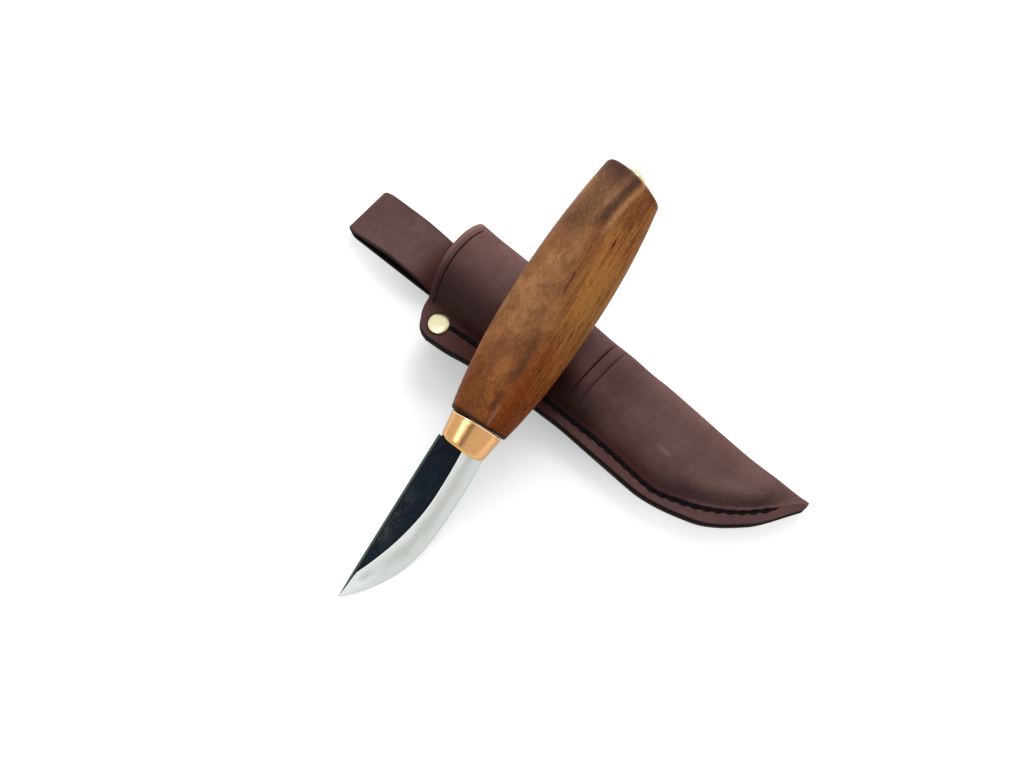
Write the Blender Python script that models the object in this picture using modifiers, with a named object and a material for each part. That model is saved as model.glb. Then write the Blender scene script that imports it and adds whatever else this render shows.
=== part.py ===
"""A puukko, a Finnish sheath knife, leaning across its own leather sheath.

Sizes are in millimetres and angles in degrees. The knife is modelled along its own X, from the tip to the
butt, with the spine towards its Y. The sheath is modelled along its own X, from the mouth to the tip, with
the fold towards its Y and its back on the table at Z = 0.
"""

import math

import bmesh
import bpy
from mathutils import Euler, Vector

MM = 0.001

# General fits
SEAT_GAP = 0.3
TABLE_GAP = 0.1
CUT_PAST = 2.0

# Blade and tang
BLADE_LENGTH = 70.0
TIP_END = 0.3
BLADE_THICKNESS = 3.4
SPINE_AT_FERRULE = 10.0
SPINE_AT_TIP = 8.7
SPINE_CHAMFER = 0.45
EDGE_AT_FERRULE = 9.3
EDGE_BELLY = 10.4
BELLY_SHARE = 0.757
EDGE_CURVE = 3.4
EDGE_THICKNESS = 0.16
BEVEL_LINE_AT_FERRULE = -0.2
BEVEL_LINE_LOWEST = -1.1
BEVEL_LINE_SHARE = 0.714
BEVEL_MEETS_SHARE = 0.15
BEVEL_CURVE = 1.9
TANG_WIDTH_FRONT = 9.0
TANG_WIDTH_REAR = 4.6
TANG_THICKNESS = 2.8
TANG_CHAMFER = 0.5
PEEN_WIDTH = 6.2
PEEN_HEIGHT = 1.2

# Ferrule
FERRULE_LENGTH = 10.6
FERRULE_FRONT_WIDTH = 19.0
FERRULE_FRONT_THICKNESS = 14.0
FERRULE_REAR_WIDTH = 21.8
FERRULE_REAR_THICKNESS = 16.0
FERRULE_WALL = 1.2
FERRULE_PLATE = 2.2
FERRULE_CHAMFER = 0.8
FERRULE_BEAD = 0.5

# Handle
HANDLE_LENGTH = 106.7
HANDLE_FRONT_WIDTH = 22.6
HANDLE_FRONT_THICKNESS = 16.8
HANDLE_MID_WIDTH = 33.9
HANDLE_MID_THICKNESS = 21.5
HANDLE_MID_STATION = 57.0
HANDLE_BUTT_WIDTH = 25.2
HANDLE_BUTT_THICKNESS = 17.2
HANDLE_FRONT_ROUND = 0.9
HANDLE_BUTT_ROUND = 1.0
HANDLE_BUTT_DOME = 1.2
HANDLE_BUTT_SLANT = 10.0
OVAL_POWER = 2.25
OVAL_POINTS = 32
TANG_BORE_CLEARANCE = 0.4

# Washer on the butt
WASHER_DIAMETER = 9.4
WASHER_THICKNESS = 1.6
WASHER_DOME = 0.5

# How the knife lies when it is in the sheath
STORED_AXIS_Y = -1.9
FERRULE_PAST_NECK = 3.0

# Sheath leather
LEATHER = 2.1
PARTING_GAP = 0.3
POCKET_EASE = 0.6
HANDLE_POCKET = 76.0
POCKET_TO_BLADE = 1.233
TIP_HALF_THICKNESS = 2.45
TIP_LIFT = 1.0
FLANGE_HEIGHT_AT_MOUTH = 16.5
FLANGE_HEIGHT_AT_NECK = 8.0
FLANGE_HEIGHT_AT_TIP = 3.9
SEAM_TO_FOOT = 1.5
FLANGE_LEAST = 0.4
FERRULE_COVER = 1.0
MOUTH_LIFT = 1.2
BACK_FLATNESS = 1.6
MOUTH_RIM_DROP = 5.1
MOUTH_RIM_LEAD = 1.1
LOBE_SETBACK = 9.3
MOUTH_FADE = 40.0
GROOVE_DEPTH = 0.7
GROOVE_SPACING = 5.2
GROOVE_SETBACK = 1.0
GROOVE_HALF_WIDTH = 1.5
GROOVE_MIDDLE = 0.5
GROOVE_REACH = 0.38
FOOT_SOFTNESS = 1.1
FOLD_SOFTNESS = 0.5
HANDLE_POCKET_POWER = 2.2
BLADE_POCKET_POWER = 3.2

# Sheath outline: (place, y) with place 0 at the mouth, 1 at the neck and 2 at the tip
FOLD_LINE = ((0.0, 16.4), (0.5, 16.1), (0.9, 15.6), (1.2, 17.2), (1.4, 16.4), (1.7, 15.1), (2.0, 16.9))
SEAM_LINE = (
    (0.0, -27.6),
    (0.4, -24.6),
    (1.0, -20.5),
    (1.2, -19.8),
    (1.45, -20.6),
    (1.6, -16.6),
    (1.78, -7.0),
    (2.0, 15.0),
)
EDGE_LINE = (
    (0.0, -35.4),
    (0.25, -34.8),
    (0.5, -31.2),
    (0.85, -26.4),
    (1.05, -25.1),
    (1.4, -25.2),
    (1.68, -19.2),
    (1.87, -5.8),
    (2.0, 12.4),
)

# Plastic liner for the blade
SLOT_THICKNESS = 5.0
SLOT_TIP_THICKNESS = 1.8
SLOT_TAPER = 24.0
SLOT_SIDE_CLEARANCE = 0.8
SLOT_TIP_CLEARANCE = 1.5
LINER_WALL = 1.3
LINER_EASE = 0.6
LINER_SETBACK = 3.0
LINER_RAMP = 14.0
LINER_POINTS = 20

# Rivet at the top of the seam
RIVET_X = 14.8
RIVET_Y = -27.6
RIVET_DIAMETER = 9.0
RIVET_HEAD = 1.0
RIVET_HEAD_BEVEL = 0.45
RIVET_POST_DIAMETER = 3.0
RIVET_SOCKET_WALL = 0.5

# Seam thread
THREAD_DIAMETER = 1.1
STITCH_PITCH = 4.3
SEAM_START = 0.276
SEAM_END = 1.9
STITCH_RISE = 0.22

# Belt loop
LOOP_WIDTH = 24.4
LOOP_LEG_WIDTH = 21.6
LOOP_REACH = 54.6
LOOP_LEG = 30.0
LOOP_LEG_ROOM = 1.0
LOOP_CREST_X = -26.8
LOOP_OPENING = 6.2
LOOP_END_OPENING = 2.9
LOOP_TWIST = 1.5
LOOP_CENTRE_Y = -3.8
LOOP_YAW = 0.7
LOOP_RIVET_X = 20.0
LOOP_RIVET_SPACING = 9.0
LOOP_RIVET_DIAMETER = 7.0
LOOP_RIVET_HEAD = 0.8
LOOP_RIVET_SHANK = 2.8

# How the knife leans on the sheath
KNIFE_YAW = 97.2
KNIFE_ROLL = 30.0
CROSSING_X = 51.1
CROSSING_Y = -6.9
CROSSING_ON_HANDLE = 44.7
REST_FACE_X = 106.0

# Stations and heights that follow from the sizes above
FERRULE_FRONT = BLADE_LENGTH + SEAT_GAP
FERRULE_REAR = FERRULE_FRONT + FERRULE_LENGTH
HANDLE_FRONT = FERRULE_REAR + SEAT_GAP
HANDLE_REAR = HANDLE_FRONT + HANDLE_LENGTH
WASHER_SEAT = HANDLE_REAR + SEAT_GAP
WASHER_REAR = WASHER_SEAT + WASHER_THICKNESS
BUTT_SLOPE = math.tan(math.radians(HANDLE_BUTT_SLANT))
BELLY_STATION = BLADE_LENGTH * BELLY_SHARE
BEVEL_LINE_STATION = BLADE_LENGTH * BEVEL_LINE_SHARE
BEVEL_MEETS_SPINE = BLADE_LENGTH * BEVEL_MEETS_SHARE
STORED_FERRULE_X = HANDLE_POCKET + FERRULE_PAST_NECK
STORED_TIP_X = STORED_FERRULE_X + BLADE_LENGTH
BLADE_POCKET = (FERRULE_PAST_NECK + BLADE_LENGTH) * POCKET_TO_BLADE
SHEATH_LENGTH = HANDLE_POCKET + BLADE_POCKET
GROOVES_X = HANDLE_POCKET - GROOVE_SETBACK
SEAM_START_X = HANDLE_POCKET * SEAM_START
SEAM_END_X = HANDLE_POCKET + BLADE_POCKET * (SEAM_END - 1)
LINER_START_X = STORED_FERRULE_X + LINER_SETBACK
LINER_FULL_X = STORED_FERRULE_X + LINER_RAMP
FLANGE_LAYER = LEATHER + PARTING_GAP / 2
REAR_LEG_Z = TABLE_GAP + LOOP_RIVET_HEAD + SEAT_GAP + LEATHER / 2
FRONT_LEG_Z = REAR_LEG_Z + LEATHER + SEAT_GAP
BACK_OVER_LEGS = FRONT_LEG_Z + LEATHER / 2 + SEAT_GAP
THREAD_RADIUS = THREAD_DIAMETER / 2


def clear_scene():
    for obj in list(bpy.data.objects):
        bpy.data.objects.remove(obj, do_unlink=True)


def collection(name):
    made = bpy.data.collections.new(name)
    bpy.context.scene.collection.children.link(made)
    return made


def material(name, colour, roughness, metallic=0.0):
    made = bpy.data.materials.new(name)
    made.use_nodes = True
    shader = made.node_tree.nodes["Principled BSDF"]
    shader.inputs["Base Color"].default_value = (*colour, 1.0)
    shader.inputs["Roughness"].default_value = roughness
    shader.inputs["Metallic"].default_value = metallic
    made.diffuse_color = (*colour, 1.0)
    return made


def mix(low, high, share):
    return low + (high - low) * share


def smooth_curve(points, place):
    """The height at a place of the smooth curve through (place, height) points, with no overshoot."""
    if place <= points[0][0]:
        return points[0][1]
    if place >= points[-1][0]:
        return points[-1][1]
    steps = [(b[0] - a[0], (b[1] - a[1]) / (b[0] - a[0])) for a, b in zip(points, points[1:])]
    slopes = [steps[0][1]]
    for (run_a, slope_a), (run_b, slope_b) in zip(steps, steps[1:]):
        if slope_a * slope_b <= 0:
            slopes.append(0.0)
            continue
        weight_a = 2 * run_b + run_a
        weight_b = run_b + 2 * run_a
        slopes.append((weight_a + weight_b) / (weight_a / slope_a + weight_b / slope_b))
    slopes.append(steps[-1][1])
    index = max(i for i in range(len(steps)) if points[i][0] <= place)
    run = steps[index][0]
    t = (place - points[index][0]) / run
    rise = points[index + 1][1] - points[index][1]
    start, end = slopes[index] * run, slopes[index + 1] * run
    bend = (3 * rise - 2 * start - end) * t**2 + (start + end - 2 * rise) * t**3
    return points[index][1] + start * t + bend


def finish(mesh, name, parent, look, parts):
    """Wrap a mesh as a named object that hangs from its frame."""
    obj = bpy.data.objects.new(name, mesh)
    obj.parent = parent
    mesh.materials.append(look)
    mesh.shade_smooth()
    mesh.set_sharp_from_angle(angle=math.radians(35))
    parts.objects.link(obj)
    return obj


def loft(name, rings):
    """A closed mesh through rings of points in millimetres, each ring with as many points as the first."""
    bm = bmesh.new()
    loops = [[bm.verts.new(Vector(point) * MM) for point in ring] for ring in rings]
    count = len(loops[0])
    for near, far in zip(loops, loops[1:]):
        for i in range(count):
            j = (i + 1) % count
            bm.faces.new((near[i], near[j], far[j], far[i]))
    bm.faces.new(loops[0])
    bm.faces.new(loops[-1])
    bmesh.ops.recalc_face_normals(bm, faces=bm.faces)
    mesh = bpy.data.meshes.new(name)
    bm.to_mesh(mesh)
    bm.free()
    return mesh


def turned(name, profile, turns):
    """A body turned about Z from (radius, z) points that run from its top to its bottom."""
    rings = []
    for radius, z in profile:
        angles = [math.tau * i / turns for i in range(turns)]
        rings.append([(radius * math.cos(a), radius * math.sin(a), z) for a in angles])
    return loft(name, rings)


def cutter(mesh, parent, cutters):
    """A hidden body that is cut away from a part."""
    obj = bpy.data.objects.new(mesh.name, mesh)
    obj.parent = parent
    obj.hide_render = True
    obj.display_type = "WIRE"
    cutters.objects.link(obj)
    return obj


def cut(obj, tool):
    modifier = obj.modifiers.new(tool.name, "BOOLEAN")
    modifier.operation = "DIFFERENCE"
    modifier.solver = "EXACT"
    modifier.object = tool


def oval(station, width, thickness):
    """A ring of a rounded oval, square to the knife's length."""
    ring = []
    for i in range(OVAL_POINTS):
        angle = math.tau * i / OVAL_POINTS
        c, s = math.cos(angle), math.sin(angle)
        y = math.copysign(abs(c) ** (2 / OVAL_POWER), c) * width / 2
        z = math.copysign(abs(s) ** (2 / OVAL_POWER), s) * thickness / 2
        ring.append((station, y, z))
    return ring


def round_ring(station, radius):
    angles = [math.tau * i / OVAL_POINTS for i in range(OVAL_POINTS)]
    return [(station, radius * math.cos(a), radius * math.sin(a)) for a in angles]


def slanted(ring, share=1.0):
    """A ring leaned as the butt is cut: longer on the spine's side."""
    return [(x + BUTT_SLOPE * share * y, y, z) for x, y, z in ring]


# Knife


def spine_line(station):
    return mix(SPINE_AT_TIP, SPINE_AT_FERRULE, station / BLADE_LENGTH)


def edge_line(station):
    if station < BELLY_STATION:
        sweep = (1 - station / BELLY_STATION) ** EDGE_CURVE
        return mix(-EDGE_BELLY, SPINE_AT_TIP, sweep)
    share = (station - BELLY_STATION) / (BLADE_LENGTH - BELLY_STATION)
    return mix(-EDGE_BELLY, -EDGE_AT_FERRULE, share**2)


def bevel_line(station):
    """Where the black flat ends and the ground bevel begins."""
    if station < BEVEL_LINE_STATION:
        run = BEVEL_LINE_STATION - BEVEL_MEETS_SPINE
        share = min(1.0, (BEVEL_LINE_STATION - station) / run)
        return mix(BEVEL_LINE_LOWEST, spine_line(BEVEL_MEETS_SPINE), share**BEVEL_CURVE)
    share = (station - BEVEL_LINE_STATION) / (BLADE_LENGTH - BEVEL_LINE_STATION)
    return mix(BEVEL_LINE_LOWEST, BEVEL_LINE_AT_FERRULE, share**2)


def blade_ring(station):
    spine, edge = spine_line(station), edge_line(station)
    bevel_depth = spine_line(BEVEL_MEETS_SPINE) - edge_line(BEVEL_MEETS_SPINE)
    ground = min(1.0, (spine - edge) / bevel_depth)
    half = max(EDGE_THICKNESS, BLADE_THICKNESS * ground) / 2
    chamfer = SPINE_CHAMFER * ground
    shoulder = min(bevel_line(station), mix(edge, spine - chamfer, 0.85))
    keen = min(EDGE_THICKNESS / 2, half * 0.8)
    side = [(spine, half - chamfer), (spine - chamfer, half), (shoulder, half), (edge, keen)]
    return [(station, y, z) for y, z in side] + [(station, y, -z) for y, z in reversed(side)]


def tang_ring(station, width, thickness, chamfer):
    w, t = width / 2, thickness / 2
    side = [(w, t - chamfer), (w - chamfer, t), (chamfer - w, t), (-w, t - chamfer)]
    return [(station, y, z) for y, z in side] + [(station, y, -z) for y, z in reversed(side)]


def make_blade(frame, look, parts):
    shares = [0.0, 0.01, 0.03, 0.06, 0.09, 0.14, 0.19, 0.25, 0.31, 0.38, 0.45, 0.53, 0.62, 0.71, 0.85, 1.0]
    rings = [blade_ring(mix(TIP_END, BLADE_LENGTH, share)) for share in shares]
    rings.append(tang_ring(BLADE_LENGTH, TANG_WIDTH_FRONT, TANG_THICKNESS, TANG_CHAMFER))
    rings.append(tang_ring(HANDLE_FRONT, TANG_WIDTH_FRONT, TANG_THICKNESS, TANG_CHAMFER))
    head = WASHER_REAR + SEAT_GAP
    rings.append(slanted(tang_ring(head, TANG_WIDTH_REAR, TANG_THICKNESS, TANG_CHAMFER)))
    peen_thickness = TANG_THICKNESS + PEEN_WIDTH - TANG_WIDTH_REAR
    for rise, share in ((0.0, 1.0), (0.6, 1.0), (1.0, 0.6)):
        thickness = peen_thickness * share
        ring = tang_ring(head + PEEN_HEIGHT * rise, PEEN_WIDTH * share, thickness, thickness / 3)
        rings.append(slanted(ring))
    return finish(loft("blade", rings), "blade", frame, look, parts)


def ferrule_ring(station, inset):
    share = (station - FERRULE_FRONT) / FERRULE_LENGTH
    width = mix(FERRULE_FRONT_WIDTH, FERRULE_REAR_WIDTH, share)
    thickness = mix(FERRULE_FRONT_THICKNESS, FERRULE_REAR_THICKNESS, share)
    return oval(station, width - 2 * inset, thickness - 2 * inset)


def make_ferrule(frame, look, parts, cutters):
    c = FERRULE_CHAMFER
    outside = [
        ferrule_ring(FERRULE_FRONT, c),
        ferrule_ring(FERRULE_FRONT + 0.3 * c, 0.3 * c),
        ferrule_ring(FERRULE_FRONT + c, 0.0),
        ferrule_ring(FERRULE_REAR - FERRULE_BEAD, 0.0),
        ferrule_ring(FERRULE_REAR, FERRULE_BEAD),
    ]
    obj = finish(loft("ferrule", outside), "ferrule", frame, look, parts)
    floor, past = FERRULE_FRONT + FERRULE_PLATE, FERRULE_REAR + CUT_PAST
    cavity = loft("ferrule_cavity", [ferrule_ring(floor, FERRULE_WALL), ferrule_ring(past, FERRULE_WALL)])
    cut(obj, cutter(cavity, frame, cutters))
    slot_width = TANG_WIDTH_FRONT + 2 * SEAT_GAP
    slot_thickness = TANG_THICKNESS + 2 * SEAT_GAP
    ends = (FERRULE_FRONT - CUT_PAST, floor + CUT_PAST)
    slot = loft("ferrule_slot", [tang_ring(s, slot_width, slot_thickness, TANG_CHAMFER) for s in ends])
    cut(obj, cutter(slot, frame, cutters))
    return obj


def handle_size(along):
    """Width and thickness of the handle at a distance behind its front end."""
    if along < HANDLE_MID_STATION:
        swell = 1 - (1 - max(0.0, along) / HANDLE_MID_STATION) ** 2.5
        ends = (HANDLE_FRONT_WIDTH, HANDLE_FRONT_THICKNESS)
    else:
        share = (along - HANDLE_MID_STATION) / (HANDLE_LENGTH - HANDLE_MID_STATION)
        swell = 1 - share**2
        ends = (HANDLE_BUTT_WIDTH, HANDLE_BUTT_THICKNESS)
    width = mix(ends[0], HANDLE_MID_WIDTH, swell)
    thickness = mix(ends[1], HANDLE_MID_THICKNESS, swell)
    return width, thickness


def handle_ring(along, inset):
    """A ring of the barrel: square to its length in front, leaning with the butt behind the middle."""
    width, thickness = handle_size(along)
    behind_middle = max(0.0, (along - HANDLE_MID_STATION) / (HANDLE_LENGTH - HANDLE_MID_STATION))
    return slanted(oval(HANDLE_FRONT + along, width - 2 * inset, thickness - 2 * inset), behind_middle**2)


def make_handle(frame, look, parts, cutters):
    spigot_inset = FERRULE_WALL + SEAT_GAP
    spigot_width = FERRULE_REAR_WIDTH - 2 * spigot_inset
    spigot_thickness = FERRULE_REAR_THICKNESS - 2 * spigot_inset
    r, corner = HANDLE_FRONT_ROUND, HANDLE_BUTT_ROUND
    rings = [
        ferrule_ring(FERRULE_FRONT + FERRULE_PLATE + SEAT_GAP, spigot_inset + 0.4),
        ferrule_ring(FERRULE_FRONT + FERRULE_PLATE + SEAT_GAP + 0.4, spigot_inset),
        ferrule_ring(FERRULE_REAR, spigot_inset),
        oval(HANDLE_FRONT, spigot_width, spigot_thickness),
        handle_ring(0.0, r),
        handle_ring(0.3 * r, 0.3 * r),
        handle_ring(r, 0.0),
    ]
    body_end = HANDLE_LENGTH - HANDLE_BUTT_DOME - corner
    steps = 14
    rings += [handle_ring(mix(r, body_end, i / steps), 0.0) for i in range(1, steps + 1)]
    for angle in (30, 60, 90):
        turn = math.radians(angle)
        rings.append(handle_ring(body_end + corner * math.sin(turn), corner * (1 - math.cos(turn))))
    butt_width, butt_thickness = handle_size(body_end + corner)
    seat = WASHER_DIAMETER + 1.0
    for share in (0.6, 0.25):
        width = mix(seat, butt_width - 2 * corner, share)
        thickness = mix(seat, butt_thickness - 2 * corner, share)
        rings.append(slanted(oval(HANDLE_REAR - HANDLE_BUTT_DOME * share**2, width, thickness)))
    rings.append(slanted(oval(HANDLE_REAR, seat, seat)))
    obj = finish(loft("handle", rings), "handle", frame, look, parts)
    front_width = TANG_WIDTH_FRONT + 2 * TANG_BORE_CLEARANCE
    rear_width = TANG_WIDTH_REAR + 2 * TANG_BORE_CLEARANCE
    bore_thickness = TANG_THICKNESS + 2 * TANG_BORE_CLEARANCE
    bore = [
        tang_ring(FERRULE_FRONT, front_width, bore_thickness, TANG_CHAMFER),
        tang_ring(HANDLE_FRONT, front_width, bore_thickness, TANG_CHAMFER),
        tang_ring(WASHER_REAR + SEAT_GAP, rear_width, bore_thickness, TANG_CHAMFER),
    ]
    cut(obj, cutter(loft("handle_bore", bore), frame, cutters))
    return obj


def make_washer(frame, look, parts, cutters):
    half = WASHER_DIAMETER / 2
    face = half - 2 * WASHER_DOME
    profile = ((half, WASHER_SEAT), (half, WASHER_REAR - WASHER_DOME), (face, WASHER_REAR))
    rings = [slanted(round_ring(station, radius)) for radius, station in profile]
    obj = finish(loft("tang_washer", rings), "tang_washer", frame, look, parts)
    width = TANG_WIDTH_REAR + 2 * TANG_BORE_CLEARANCE
    thickness = TANG_THICKNESS + 2 * TANG_BORE_CLEARANCE
    ends = (WASHER_SEAT - CUT_PAST, WASHER_REAR + CUT_PAST)
    hole = loft("washer_hole", [tang_ring(s, width, thickness, TANG_CHAMFER) for s in ends])
    cut(obj, cutter(hole, frame, cutters))
    return obj


# Sheath


def place_of(x):
    """0 at the mouth, 1 at the neck, 2 at the tip."""
    if x < HANDLE_POCKET:
        return x / HANDLE_POCKET
    return 1 + (x - HANDLE_POCKET) / BLADE_POCKET


def fold_y(x):
    return smooth_curve(FOLD_LINE, place_of(x))


def seam_y(x):
    return smooth_curve(SEAM_LINE, place_of(x))


def flange_edge_y(x):
    return smooth_curve(EDGE_LINE, place_of(x))


def foot_y(x):
    """Where the pocket rises from the flange: clear of the rivet, and a fold's width from the fold."""
    clear_of_rivet = RIVET_Y + RIVET_DIAMETER / 2 + SEAT_GAP
    return min(max(seam_y(x) + SEAM_TO_FOOT, clear_of_rivet), fold_y(x) - 2 * TIP_HALF_THICKNESS)


def flange_z(x):
    heights = (
        (0.0, FLANGE_HEIGHT_AT_MOUTH),
        (0.35, FLANGE_HEIGHT_AT_MOUTH),
        (1.0, FLANGE_HEIGHT_AT_NECK),
        (1.35, mix(FLANGE_HEIGHT_AT_NECK, FLANGE_HEIGHT_AT_TIP, 0.5)),
        (2.0, FLANGE_HEIGHT_AT_TIP),
    )
    return smooth_curve(heights, place_of(x))


def back_z(x):
    """Lowest line of the back: over the belt loop's legs, flat on the table, then lifting to the tip."""
    heights = (
        (0.0, BACK_OVER_LEGS + MOUTH_LIFT),
        (LOOP_LEG * 0.4, BACK_OVER_LEGS),
        (LOOP_LEG + LOOP_LEG_ROOM, BACK_OVER_LEGS),
        (HANDLE_POCKET * 0.75, 0.0),
        (STORED_TIP_X - SLOT_TAPER, 0.0),
        (SHEATH_LENGTH, TIP_LIFT),
    )
    return smooth_curve(heights, x)


def half_thickness(x):
    """Half of the sheath's outer thickness: leather moulded over the handle, the ferrule and the liner."""
    over_handle = POCKET_EASE + LEATHER
    handle_front_x = STORED_FERRULE_X - FERRULE_LENGTH - 2 * SEAT_GAP
    over_liner = LINER_WALL + LINER_EASE + LEATHER
    points = []
    for share in (0.0, 0.2, 0.4, 0.6, 0.8, 1.0):
        place = handle_front_x * share
        points.append((place, handle_size(handle_front_x - place)[1] / 2 + over_handle))
    points.append((STORED_FERRULE_X - FERRULE_COVER, FERRULE_FRONT_THICKNESS / 2 + over_handle))
    points.append((LINER_FULL_X, over_liner + SLOT_THICKNESS / 2))
    points.append((STORED_TIP_X - SLOT_TAPER, over_liner + SLOT_THICKNESS / 2))
    points.append((STORED_TIP_X + SLOT_TIP_CLEARANCE + LINER_WALL, over_liner + SLOT_TIP_THICKNESS / 2))
    points.append((SHEATH_LENGTH, TIP_HALF_THICKNESS))
    return smooth_curve(points, x)


def bulge(x, across):
    """Rise of the pocket from the seam's foot, 0, over its crest to the fold, 1: flatter over the blade."""
    powers = ((0.7, HANDLE_POCKET_POWER), (1.2, BLADE_POCKET_POWER))
    power = smooth_curve(powers, place_of(x))
    return max(0.0, 1 - abs(2 * across - 1) ** power) ** mix(FOOT_SOFTNESS, FOLD_SOFTNESS, across)


def groove(x, across):
    """Depth of the two grooves pressed across the front at the neck."""
    window = max(0.0, 1 - ((across - GROOVE_MIDDLE) / GROOVE_REACH) ** 2) ** 0.5
    depth = 0.0
    for side in (-0.5, 0.5):
        distance = abs(x - GROOVES_X - side * GROOVE_SPACING)
        depth = max(depth, GROOVE_DEPTH * max(0.0, 1 - distance / GROOVE_HALF_WIDTH))
    return depth * window


def front_z(x, across):
    base = mix(flange_z(x) + FLANGE_LAYER, back_z(x) + half_thickness(x), across)
    crest = back_z(x) + 2 * half_thickness(x)
    return mix(base, crest, bulge(x, across)) - groove(x, across)


def rear_z(x, across):
    base = mix(flange_z(x) - FLANGE_LAYER, back_z(x) + half_thickness(x), across)
    lowest = back_z(x)
    return max(lowest, base - (base - lowest) * BACK_FLATNESS * bulge(x, across))


def mouth_shift(across):
    """How far the mouth's rim lies towards the tip: it leads at the fold and drops to the seam."""
    return MOUTH_RIM_DROP * (1 - across) ** 1.6 - MOUTH_RIM_LEAD


def sheath_section(x):
    """Outer surface of one section: front flange, over the fold, to the rear flange's edge."""
    foot, fold, edge = foot_y(x), fold_y(x), flange_edge_y(x)
    edge = min(edge, foot - FLANGE_LEAST)
    fade = max(0.0, 1 - x / MOUTH_FADE) ** 2
    at_foot = mouth_shift(0.0)
    flange = []
    for share in (1.0, 0.8, 0.55, 0.28):
        flange.append((x + fade * (at_foot + LOBE_SETBACK * share**2.2), mix(foot, edge, share)))
    front_steps, rear_steps = 14, 12
    points = [(px, py, flange_z(x) + FLANGE_LAYER) for px, py in flange]
    for i in range(front_steps + 1):
        across = (1 - math.cos(math.pi * i / front_steps)) / 2
        y = mix(foot, fold, across)
        points.append((x + fade * mouth_shift(across), y, front_z(x, across)))
    for i in range(1, rear_steps + 1):
        across = (1 + math.cos(math.pi * i / rear_steps)) / 2
        y = mix(foot, fold, across)
        points.append((x + fade * mouth_shift(across), y, rear_z(x, across)))
    points += [(px, py, flange_z(x) - FLANGE_LAYER) for px, py in reversed(flange)]
    return points


def sheath_stations():
    """Sections along the sheath, closer at the mouth, at the grooves and at the tip."""
    reach = GROOVE_SPACING / 2 + 1.5 * GROOVE_HALF_WIDTH
    first, last = GROOVES_X - reach, GROOVES_X + reach
    stations = [first * share for share in (0.0, 0.06, 0.13, 0.21, 0.31, 0.42, 0.54, 0.66, 0.78, 0.9)]
    for side in (-0.5, 0.5):
        middle = GROOVES_X + side * GROOVE_SPACING
        stations += [middle - GROOVE_HALF_WIDTH, middle, middle + GROOVE_HALF_WIDTH]
    rest = SHEATH_LENGTH - last
    shares = (0.0, 0.1, 0.2, 0.32, 0.44, 0.55, 0.65, 0.74, 0.82, 0.89, 0.95, 1.0)
    stations += [last + rest * share for share in shares]
    return stations


def make_leather(frame, look, parts, cutters):
    bm = bmesh.new()
    rows = [[bm.verts.new(Vector(p) * MM) for p in sheath_section(x)] for x in sheath_stations()]
    for near, far in zip(rows, rows[1:]):
        for i in range(len(near) - 1):
            bm.faces.new((near[i], far[i], far[i + 1], near[i + 1]))
    mesh = bpy.data.meshes.new("sheath_leather")
    bm.to_mesh(mesh)
    bm.free()
    obj = finish(mesh, "sheath_leather", frame, look, parts)
    wall = obj.modifiers.new("leather thickness", "SOLIDIFY")
    wall.thickness = LEATHER * MM
    wall.offset = -1.0
    wall.use_even_offset = True
    wall.use_quality_normals = True
    hole = RIVET_POST_DIAMETER / 2 + RIVET_SOCKET_WALL + 2 * SEAT_GAP
    low, high = flange_z(RIVET_X) - 2 * FLANGE_LAYER, flange_z(RIVET_X) + 2 * FLANGE_LAYER
    tool = cutter(turned("seam_rivet_hole", ((hole, high), (hole, low)), 16), frame, cutters)
    tool.location = Vector((RIVET_X, RIVET_Y, 0.0)) * MM
    cut(obj, tool)
    return obj


def liner_span(x, inset):
    """Low and high Y of the liner's outside at a place, or of its slot with the wall as inset."""
    wall = LINER_WALL + SLOT_SIDE_CLEARANCE - inset
    station = max(0.0, min(BLADE_LENGTH, STORED_TIP_X - x))
    low = STORED_AXIS_Y + edge_line(station) - wall
    high = STORED_AXIS_Y + SPINE_AT_FERRULE + wall
    return low, high


def liner_ring(x, inset):
    low, high = liner_span(x, inset)
    slot = ((STORED_TIP_X - SLOT_TAPER, SLOT_THICKNESS), (STORED_TIP_X, SLOT_TIP_THICKNESS))
    thickness = smooth_curve(slot, x) + 2 * (LINER_WALL - inset)
    level = max(x, LINER_FULL_X)
    middle = back_z(level) + half_thickness(level)
    ring = []
    for i in range(LINER_POINTS):
        angle = math.tau * i / LINER_POINTS
        c, s = math.cos(angle), math.sin(angle)
        across = math.copysign(abs(c) ** 0.85, c)
        up = math.copysign(abs(s) ** 0.7, s)
        ring.append((x, (low + high) / 2 + across * (high - low) / 2, middle + up * thickness / 2))
    return ring


def make_liner(frame, look, parts, cutters):
    start = LINER_START_X
    slot_end = STORED_TIP_X + SLOT_TIP_CLEARANCE
    shares = (0.0, 0.3, 0.5, 0.62, 0.72, 0.8, 0.87, 0.93, 0.97, 1.0)
    outside = [liner_ring(mix(start, slot_end, share), 0.0) for share in shares]
    closed_end = [(slot_end + LINER_WALL, y, z) for _, y, z in outside[-1]]
    obj = finish(loft("blade_liner", outside + [closed_end]), "blade_liner", frame, look, parts)
    inside = [liner_ring(mix(start, slot_end, share), LINER_WALL) for share in shares]
    inside.insert(0, [(start - CUT_PAST, y, z) for _, y, z in inside[0]])
    cut(obj, cutter(loft("liner_slot", inside), frame, cutters))
    return obj


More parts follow.
